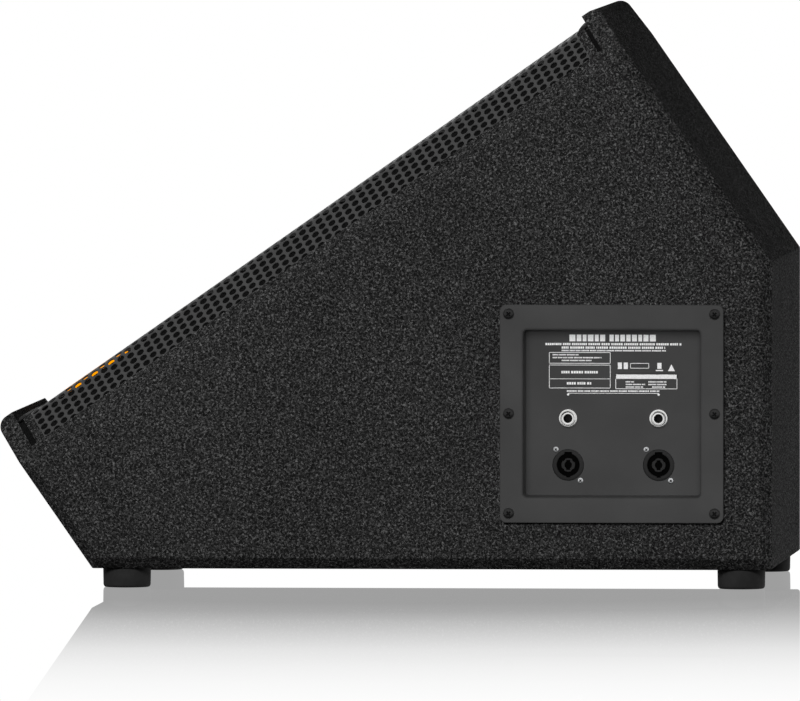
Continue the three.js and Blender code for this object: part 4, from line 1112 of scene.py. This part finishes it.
def panel_print():
    """Generic print on the recess floor: bars, boxes and rules, with no letters."""
    rng = random.Random(7)
    lines = [
        (-34.0, 34.1, 55.3, 5.2), (-52.6, 53.0, 52.3, 1.7), (-40.0, 40.0, 49.6, 1.7),
        (-40.0, 40.6, 47.6, 1.1), (-47.0, -27.0, 44.4, 1.0), (-47.0, -9.0, 42.2, 1.0),
        (-40.0, -17.0, 40.0, 1.0),
        (-40.2, -12.0, 30.5, 1.9), (-36.0, -16.6, 21.9, 1.9),
        (9.5, 16.0, 23.6, 1.0), (9.5, 24.5, 21.6, 1.0), (9.5, 23.0, 19.6, 1.0),
        (27.0, 41.0, 23.6, 1.0), (27.0, 41.0, 21.6, 1.0), (30.0, 40.0, 19.6, 1.0), (-36.0, 36.0, 16.3, 1.2),
    ]
    boxes = [
        (-49.8, 38.1, -2.2, 46.9), (-49.8, 19.0, -2.2, 37.2), (1.6, 18.5, 49.4, 30.2),
        (13.0, 34.4, 27.6, 38.6),
    ]
    bars = [bar for line in lines for bar in text_row(rng, *line)]
    bars += [side for box in boxes for side in outlined(*box)]
    bars += [(-49.8, 26.1, -2.2, 26.5), (1.6, 26.4, 49.4, 30.2), (-35.0, 15.0, 35.0, 15.4)]
    bars += [(3.4, 34.0, 6.6, 39.0), (8.0, 34.0, 11.2, 39.0)]
    bars += [(32.8, 32.4, 38.4, 33.4), (34.0, 34.2, 37.2, 38.8)]
    low, high = 0.01, 0.05
    shapes = []
    for left, bottom, right, top in bars:
        shapes.append(box_shape((left, bottom, low), (right, top, high)))
    for x in (-COLUMN_X, COLUMN_X):
        shapes.append(shifted(cylinder(0.9, low, high, 24), x, 14.2))
    peak = [[(42.2, 32.4, z), (47.6, 32.4, z), (44.9, 37.6, z)] for z in (low, high)]
    shapes.append(lofted(peak))
    print_plate = make("panel_print", together(shapes), at_panel(0, 0, RECESS_FLOOR))
    piece(print_plate, INK)


def shifted(shape, x, y):
    points, faces = shape
    return [(px + x, py + y, pz) for px, py, pz in points], faces


def together(shapes):
    """Several shapes as one set of points and faces."""
    points, faces = [], []
    for some_points, some_faces in shapes:
        offset = len(points)
        points += some_points
        faces += [[i + offset for i in face] for face in some_faces]
    return points, faces


def terminal_panel():
    terminal_dish()
    for word, x in (("left", -COLUMN_X), ("right", COLUMN_X)):
        input_jack(x, word)
        speaker_socket(x, word)
    panel_print()


# ---- Handle ----


def handle():
    """Moulded cup with a rounded flange, a grip bar and four screws."""
    length, height, corner, face = 172, 96, 24, 5.4
    wall, floor, screw_x, screw_y = 3, -42, 75, 40
    levels = [
        (CUP_LENGTH + 2 * wall - 6, CUP_HEIGHT + 2 * wall - 6, CUP_CORNER, floor),
        (CUP_LENGTH + 2 * wall, CUP_HEIGHT + 2 * wall, CUP_CORNER + wall, floor + 4),
        (CUP_LENGTH + 2 * wall, CUP_HEIGHT + 2 * wall, CUP_CORNER + wall, 0.3),
        (length, height, corner, 0.3),
    ]
    edge = rounded_edge(2.5, 5)
    levels += [(length - 2 * g, height - 2 * g, corner - g, face - z) for g, z in edge]
    levels += [(CUP_LENGTH + 2 * g, CUP_HEIGHT + 2 * g, CUP_CORNER + g, face - z) for g, z in edge[::-1]]
    inner = ((0.4, 8), (1.2, 4.5), (3.5, 1.5), (7.5, 0.2), (10, 0))
    levels += [(CUP_LENGTH - 2 * g, CUP_HEIGHT - 2 * g, CUP_CORNER - g, floor + wall + z) for g, z in inner]
    cup = make("cup", lofted([rounded_ring(*level) for level in levels]), HANDLE, angle=40)
    piece(gather("handle_shell", [cup, grip_bar()]), HORN_PLASTIC, ["handle_cup"])
    corners = [(x * screw_x, y * screw_y) for x in (-1, 1) for y in (-1, 1)]
    for number, (x, y) in enumerate(corners, 1):
        spot = moved(HANDLE, x, y, face - 1.9)
        cross_screw(f"handle_screw_{number}", spot, 3.4, 1.85, SCREW_BLACK)


def grip_bar():
    """Oval bar along the cup, swelling where it meets the cup's two ends."""
    reach, half_height, half_depth, middle = CUP_LENGTH / 2 + 2, 13, 7.8, -3.4
    rings = []
    for i in range(25):
        x = -reach + 2 * reach * i / 24
        swell = 1 + 0.35 * (abs(x) / reach) ** 6
        turns = [2 * math.pi * k / 32 for k in range(32)]
        height = half_height * swell
        rings.append([(x, height * math.sin(t), middle + half_depth * math.cos(t)) for t in turns])
    return make("bar", lofted(rings), HANDLE, angle=40)


# ---- Woofer ----

ROUND = 128


def woofer_basket():
    """Die-cast frame with six windows and eight mounting screws."""
    face, screw_circle, window_count, screw_count = 4.3, 148.5, 6, 8
    profile = [
        (154, 0.3), (154, 3.6), (153.3, face), (137, face), (133, -3), (124, -30), (88, -66.5), (84, -70),
        (71, -70), (71, -72.5), (80, -72.5), (80, -81), (52, -81), (52, -84), (86, -84), (86, -72),
        (91, -69), (128, -31), (137.5, -4), (139.8, 0.3),
    ]
    frame_ring = make("cast_basket", turned(profile, ROUND), WOOFER)
    windows = []
    for i in range(window_count):
        shape = basket_window(math.radians(360 / window_count * (i + 0.5)))
        windows.append(make("window", shape, WOOFER, bevel=4))
    carve(frame_ring, windows)
    piece(frame_ring, CAST_METAL, ["woofer_basket"])
    for number in range(screw_count):
        spot = moved(spun(WOOFER, 360 / screw_count * (number + 0.5)), screw_circle, 0, face)
        cross_screw(f"basket_screw_{number + 1}", spot, 4.2, 2.2, SCREW_BLACK)


def basket_window(middle):
    """Cutter for one window: a block between two arcs about the direction given."""
    inner, outer, low, high, half = 84, 150, -60, -12, math.radians(21)
    arc = [middle - half + 2 * half * k / 12 for k in range(13)]
    ring = [(outer * math.cos(a), outer * math.sin(a)) for a in arc]
    ring += [(inner * math.cos(a), inner * math.sin(a)) for a in arc[::-1]]
    return lofted([[(x, y, z) for x, y in ring] for z in (low, high)])


def hung(obj, material, node):
    """Gives a cloth piece its material, hides the CAD node that it stands for and bakes its place into its
    mesh.
    """
    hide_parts(node)
    obj.data.materials.append(material)
    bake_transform(obj)


def woofer_surround():
    """Half roll of treated cloth, whose inner lip lies deeper than its outer lip."""
    outer_lip, inner_lip, middle, radius, thickness = 4.6, -2.4, 125, 8, 0.8
    top = [(147, outer_lip)]
    for i in range(19):
        turn = math.pi * i / 18
        drop = (outer_lip - inner_lip) * (1 - math.sin(turn)) if i > 9 else 0
        top.append((middle + radius * math.cos(turn), outer_lip + radius * math.sin(turn) - drop))
    top.append((109, inner_lip))
    under = []
    for r, z in top:
        in_roll = abs(r - middle) < radius
        under.append((middle + (r - middle) * (1 - thickness / radius) if in_roll else r, z))
    profile = under + [(r, z + thickness) for r, z in top[::-1]]
    ring = make("cloth_surround", turned(profile, ROUND), WOOFER, angle=50)
    hung(ring, SURROUND_CLOTH, "woofer_surround")


def woofer_spider():
    """Corrugated disc of woven cloth that centres the coil."""
    inner, outer, low, high, thickness, waves = 33.5, 79, -75.5, -69.5, 0.8, 5
    top = []
    for i in range(61):
        t = i / 60
        rolled = min(t / 0.8, 1)
        height = low + (high - low) * rolled + 1.2 * math.sin(2 * math.pi * waves * rolled)
        top.append((inner + (outer - inner) * t, height))
    profile = [(r, z - 0.2) for r, z in top[::-1]] + [(r, z + thickness - 0.2) for r, z in top]
    disc = make("cloth_spider", turned(profile, ROUND), WOOFER, angle=60)
    hung(disc, SPIDER_CLOTH, "woofer_spider")


def woofer_cone():
    """Pressed paper cone with stiffening rings, its dust cap and the coil behind it."""
    rim, rim_z, width, depth, belly, steps, thickness = 116, -2.7, 82, 57.3, 5, 40, 1.2
    front = []
    for i in range(steps + 1):
        t = i / steps
        ripple = 0.35 * math.sin(2 * math.pi * 6 * t) if 0.2 < t < 0.7 else 0
        front.append((rim - width * t, rim_z - depth * t - belly * math.sin(math.pi * t) + ripple))
    profile = front + [(r, z - thickness) for r, z in front[::-1]]
    cone = make("paper_cone", turned(profile, ROUND), WOOFER, angle=60)
    piece(cone, CONE_PAPER, ["woofer_cone"], "cone_assembly")
    dust_cap()
    voice_coil()


def dust_cap():
    """Shallow paper dome over the voice coil."""
    radius, edge, crown = 42, -55.3, 13
    turns = [math.pi / 2 * i / 16 for i in range(17)]
    outer = [(radius * math.sin(t), edge + crown * math.cos(t)) for t in turns]
    inner = [((radius - 0.8) * math.sin(t), edge + (crown - 0.8) * math.cos(t)) for t in turns[::-1]]
    cap = make("paper_dust_cap", turned(outer + inner, ROUND), WOOFER, angle=60)
    piece(cap, CONE_PAPER, ["woofer_dust_cap"], "cone_assembly")


def voice_coil():
    """A thin former with its winding as ridges round the lower end."""
    pitch, winds, start = 0.5, 28, -103.9
    former = [(31.8, -104), (32.1, -104)]
    for i in range(winds):
        former += [(33.4, start + i * pitch), (33.1, start + (i + 0.5) * pitch)]
    former += [(32.6, -89.8), (32.6, -61.6), (31.8, -61.6)]
    coil = make("wound_coil", turned(former, ROUND), WOOFER)
    piece(coil, COPPER, ["woofer_voice_coil"], "cone_assembly")


def woofer_gasket():
    profile = [(137.5, 5.7), (153, 5.7), (153, 7.8), (152.4, 8.5)]
    profile += [(151.4, 8.7), (139, 8.7), (138, 8.4), (137.5, 7.8)]
    piece(make("woofer_trim", turned(profile, ROUND), WOOFER), FOAM, ["woofer_gasket"])


def woofer_motor():
    """Magnet assembly as turned rings with eased edges."""
    rings = {
        "motor_top_plate": ("woofer_top_plate", 34.1, 74, -92.3, -84.3, ZINC, "steel"),
        "motor_magnet": ("woofer_magnet", 48, 80, -112.6, -92.6, FERRITE, "ferrite"),
    }
    for name, (node, inner, outer, low, high, material, slot) in rings.items():
        ease = 1.2
        profile = [(inner, low), (outer - ease, low), (outer, low + ease)]
        profile += [(outer, high - ease), (outer - ease, high), (inner, high)]
        piece(make(name, turned(profile, ROUND), WOOFER), material, [node])
    pole = [(8, -120.9), (70, -120.9), (72, -118.9), (72, -112.9)]
    pole += [(31.3, -112.9), (31.3, -87), (30.3, -86), (8, -86)]
    piece(make("motor_back_plate", turned(pole, ROUND), WOOFER), ZINC, ["woofer_back_plate"])


def woofer():
    woofer_basket()
    woofer_gasket()
    woofer_surround()
    woofer_cone()
    woofer_spider()
    woofer_motor()


# ---- Horn and ports ----

THROAT_RADIUS = 12.7
MOUTH_LENGTH, MOUTH_WIDTH = 130, 186
HORN_DEPTH = 108


def flare_ring(share, grow, z, count=96):
    """A section of the flare: a rounded rectangle at the mouth that turns into a circle at the throat."""
    spread = (1 - share) ** 1.6
    half_length = THROAT_RADIUS + (MOUTH_LENGTH / 2 - THROAT_RADIUS) * spread + grow
    half_width = THROAT_RADIUS + (MOUTH_WIDTH / 2 - THROAT_RADIUS) * spread + grow
    power = 2 + 4 * (1 - share) ** 2
    ring = []
    for i in range(count):
        c, s = math.cos(2 * math.pi * i / count), math.sin(2 * math.pi * i / count)
        scale = (abs(c) ** power + abs(s) ** power) ** (-1 / power)
        ring.append((half_length * scale * c, half_width * scale * s, z))
    return ring


def horn():
    """Moulded flare with a rounded mouth, in a flange held by six screws."""
    steps, face, screw_x, screw_y = 24, 4.3, 73, 96
    shares = [i / steps for i in range(steps + 1)]
    inner = [flare_ring(0, 0, face + 1)] + [flare_ring(s, 0, -HORN_DEPTH * s) for s in shares]
    inner.append(flare_ring(1, 0, -HORN_DEPTH - 10))
    outer = [flare_ring(s, 4, -HORN_DEPTH * s) for s in shares]
    shell = make("flare", lofted([flare_ring(0, 4, 2), *outer]), HORN, angle=50)
    flange_levels = [(165, 220, 6, 0.3), (165, 220, 6, 3.2), (164.2, 219.2, 5.6, 4.0), (163, 218, 5, face)]
    plate = make("flange", lofted([rounded_ring(*level) for level in flange_levels]), HORN)
    throat = make("throat", cylinder(38, -HORN_DEPTH - 6, -HORN_DEPTH, 64), HORN)
    carve(shell, [plate, throat], "UNION", angle=40)
    carve(shell, [make("hollow", lofted(inner), HORN)], angle=40)
    piece(shell, HORN_PLASTIC, ["horn_flare"])
    spots = [(x * screw_x, y * screw_y) for x in (-1, 1) for y in (-1, 0, 1)]
    for number, (x, y) in enumerate(spots, 1):
        cross_screw(f"horn_screw_{number}", moved(HORN, x, y, face), 4.0, 2.1, SCREW_BLACK)


def ports():
    """Flared tubes either side of the horn."""
    for word, side in (("near", -1), ("far", 1)):
        bore, flare, face = 22, 5, 2.3
        profile = [(bore, -99.2), (25, -99.2), (25, 0.3), (29, 0.3), (29.5, 0.7), (29.2, 1.6), (28.2, face)]
        for i in range(7):
            turn = math.pi / 2 * i / 6
            profile.append((bore + flare * (1 - math.sin(turn)), face - flare * (1 - math.cos(turn))))
        tube = make(f"vent_tube_{word}", turned(profile, 72), moved(HORN, 0, side * 143.7))
        piece(tube, HORN_PLASTIC, [f"port_tube_{word}"])


# ---- CAD nodes that keep their shape ----

CARRIED_OVER = {
    BAFFLE_PAINT: ["baffle"],
    WOOD: ["baffle_cleat_near", "baffle_cleat_far"],
    FOAM: ["grille_damper_near", "grille_damper_far", "terminal_gasket"],
    BLACK_PLASTIC: ["horn_capacitor", "woofer_capacitor"],
    RUBBER: ["woofer_lead", "driver_lead"],
    WADDING: ["rear_wadding"],
    COPPER: ["woofer_inductor", "horn_inductor"],
    BOARD_GREEN: ["crossover_board"],
    CAST_METAL: ["driver_body", "driver_cover"],
    TITANIUM: ["driver_diaphragm"],
}


def refinish():
    for material, names in CARRIED_OVER.items():
        for name in names:
            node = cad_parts[name]
            node.data.materials.clear()
            node.data.materials.append(material)
            soften(node)


# ---- Floor, light and camera ----

FLOOR_RADIUS = 60
CAMERA_DISTANCE = 24
CAMERA_AZIMUTH = math.radians(4.15)
CAMERA_ELEVATION = math.radians(2.0)
CAMERA_TARGET = Vector((0.01267, -0.190, 0.1843))
FRAME_WIDTH = 0.6175
SENSOR = 36
GROUND_LIGHT = 0.04
DOME_LIGHT = 0.075
PANEL_PIECES = ("moulded_panel", "panel_print", "jack_", "socket_", "panel_screw")
POLISH_REACH = 2.6
POLISH = (
    (0.17, 0.66), (0.23, 0.61), (0.33, 0.45), (0.48, 0.22), (0.59, 0.12), (0.69, 0.06), (0.79, 0.025), (1, 0),
)
LAMPS = [
    ("key_lamp", (-0.93, -4.2, 2.3), (0, -0.1, 0.2), 1.8, 214, "all but the panel"),
    ("panel_lamp", (0.1, -4.6, 0.9), (0.18, -0.19, 0.14), 2.6, 168, "the panel"),
    ("floor_bounce", (3.6, 2.0, -2.2), (0.2, 0, 0.2), 1.8, 200, "all"),
]


def polished_floor():
    """White floor whose polish, strongest round the cabinet, fades out over two metres."""
    finish = Finish("pale_floor", roughness=1.0)
    nodes, links = finish.nodes, finish.links
    length = nodes.new("ShaderNodeVectorMath")
    length.operation = "LENGTH"
    links.new(finish.place, length.inputs[0])
    near = maths(finish.tree, "DIVIDE", length.outputs["Value"], POLISH_REACH)
    white = nodes.new("ShaderNodeEmission")
    white.inputs["Color"].default_value = (1, 1, 1, 1)
    mirror = nodes.new("ShaderNodeBsdfGlossy")
    mirror.inputs["Color"].default_value = (1, 1, 1, 1)
    mirror.inputs["Roughness"].default_value = 0.0
    mix = nodes.new("ShaderNodeMixShader")
    links.new(finish.ramp(near, POLISH), mix.inputs["Fac"])
    links.new(white.outputs["Emission"], mix.inputs[1])
    links.new(mirror.outputs["BSDF"], mix.inputs[2])
    links.new(mix.outputs["Shader"], nodes["Material Output"].inputs["Surface"])
    return finish.material


def studio_floor():
    rim = FLOOR_RADIUS / MM
    floor = make("studio_floor", turned([(0, 0), (rim, 0), (rim, -1), (0, -1)], 64))
    floor.data.materials.append(polished_floor())
    floor.visible_diffuse = False
    floor.visible_glossy = False
    floor.visible_shadow = False
    floor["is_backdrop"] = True


def studio_world():
    """White to the camera and in reflections, a dimmer even light on matt surfaces, both dark from below.

    Only the camera sees white below the horizon too.
    """
    world = bpy.data.worlds.new("studio")
    world.use_nodes = True
    tree = world.node_tree
    nodes, links = tree.nodes, tree.links
    split = nodes.new("ShaderNodeSeparateXYZ")
    links.new(nodes.new("ShaderNodeTexCoord").outputs["Generated"], split.inputs["Vector"])
    above = nodes.new("ShaderNodeMapRange")
    above.inputs["From Min"].default_value = -0.4
    above.inputs["From Max"].default_value = -0.08
    above.inputs["To Min"].default_value = GROUND_LIGHT
    links.new(split.outputs["Z"], above.inputs["Value"])
    dimmed = nodes.new("ShaderNodeMapRange")
    dimmed.inputs["To Min"].default_value = 1
    dimmed.inputs["To Max"].default_value = DOME_LIGHT
    rays = nodes.new("ShaderNodeLightPath").outputs
    links.new(rays["Is Diffuse Ray"], dimmed.inputs["Value"])
    strength = maths(tree, "MULTIPLY", above.outputs["Result"], dimmed.outputs["Result"])
    seen = maths(tree, "MAXIMUM", strength, rays["Is Camera Ray"])
    links.new(seen, nodes["Background"].inputs["Strength"])
    nodes["Background"].inputs["Color"].default_value = (1, 1, 1, 1)
    return world


def hang_lamps():
    """Soft round lamps, each of which lights all pieces, the panel's alone or all but the panel's."""
    panel = bpy.data.collections.new("panel_pieces")
    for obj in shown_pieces():
        if obj.name.startswith(PANEL_PIECES):
            panel.objects.link(obj)
    for name, place, aim, size, power, lit in LAMPS:
        light = bpy.data.lights.new(name, "AREA")
        light.shape = "DISK"
        light.size = size
        light.energy = power
        lamp = bpy.data.objects.new(name, light)
        lamp.location = place
        lamp.rotation_euler = (Vector(aim) - Vector(place)).to_track_quat("-Z", "Y").to_euler()
        lamp.visible_glossy = False
        bpy.context.scene.collection.objects.link(lamp)
        if lit == "all":
            continue
        receivers = bpy.data.collections.new(f"lit_by_{name}")
        receivers.children.link(panel)
        if lit == "all but the panel":
            receivers.collection_children[0].light_linking.link_state = "EXCLUDE"
        lamp.light_linking.receiver_collection = receivers


def photo_camera():
    lens = bpy.data.cameras.new("photo_camera")
    lens.sensor_width = SENSOR
    lens.lens = SENSOR * CAMERA_DISTANCE / FRAME_WIDTH
    lens.clip_end = 200
    camera = bpy.data.objects.new("photo_camera", lens)
    flat = math.cos(CAMERA_ELEVATION)
    away = Vector((
        math.sin(CAMERA_AZIMUTH) * flat, -math.cos(CAMERA_AZIMUTH) * flat, math.sin(CAMERA_ELEVATION)
    ))
    camera.location = CAMERA_TARGET + CAMERA_DISTANCE * away
    camera.rotation_euler = (-away).to_track_quat("-Z", "Y").to_euler()
    bpy.context.scene.collection.objects.link(camera)
    bpy.context.scene.camera = camera


def studio():
    studio_floor()
    bpy.context.scene.world = studio_world()
    hang_lamps()
    photo_camera()
    bpy.context.scene.view_settings.view_transform = "Standard"


cabinet()
grille()
grille_fittings()
slot_seals()
feet()
terminal_panel()
handle()
woofer()
horn()
ports()
refinish()
studio()
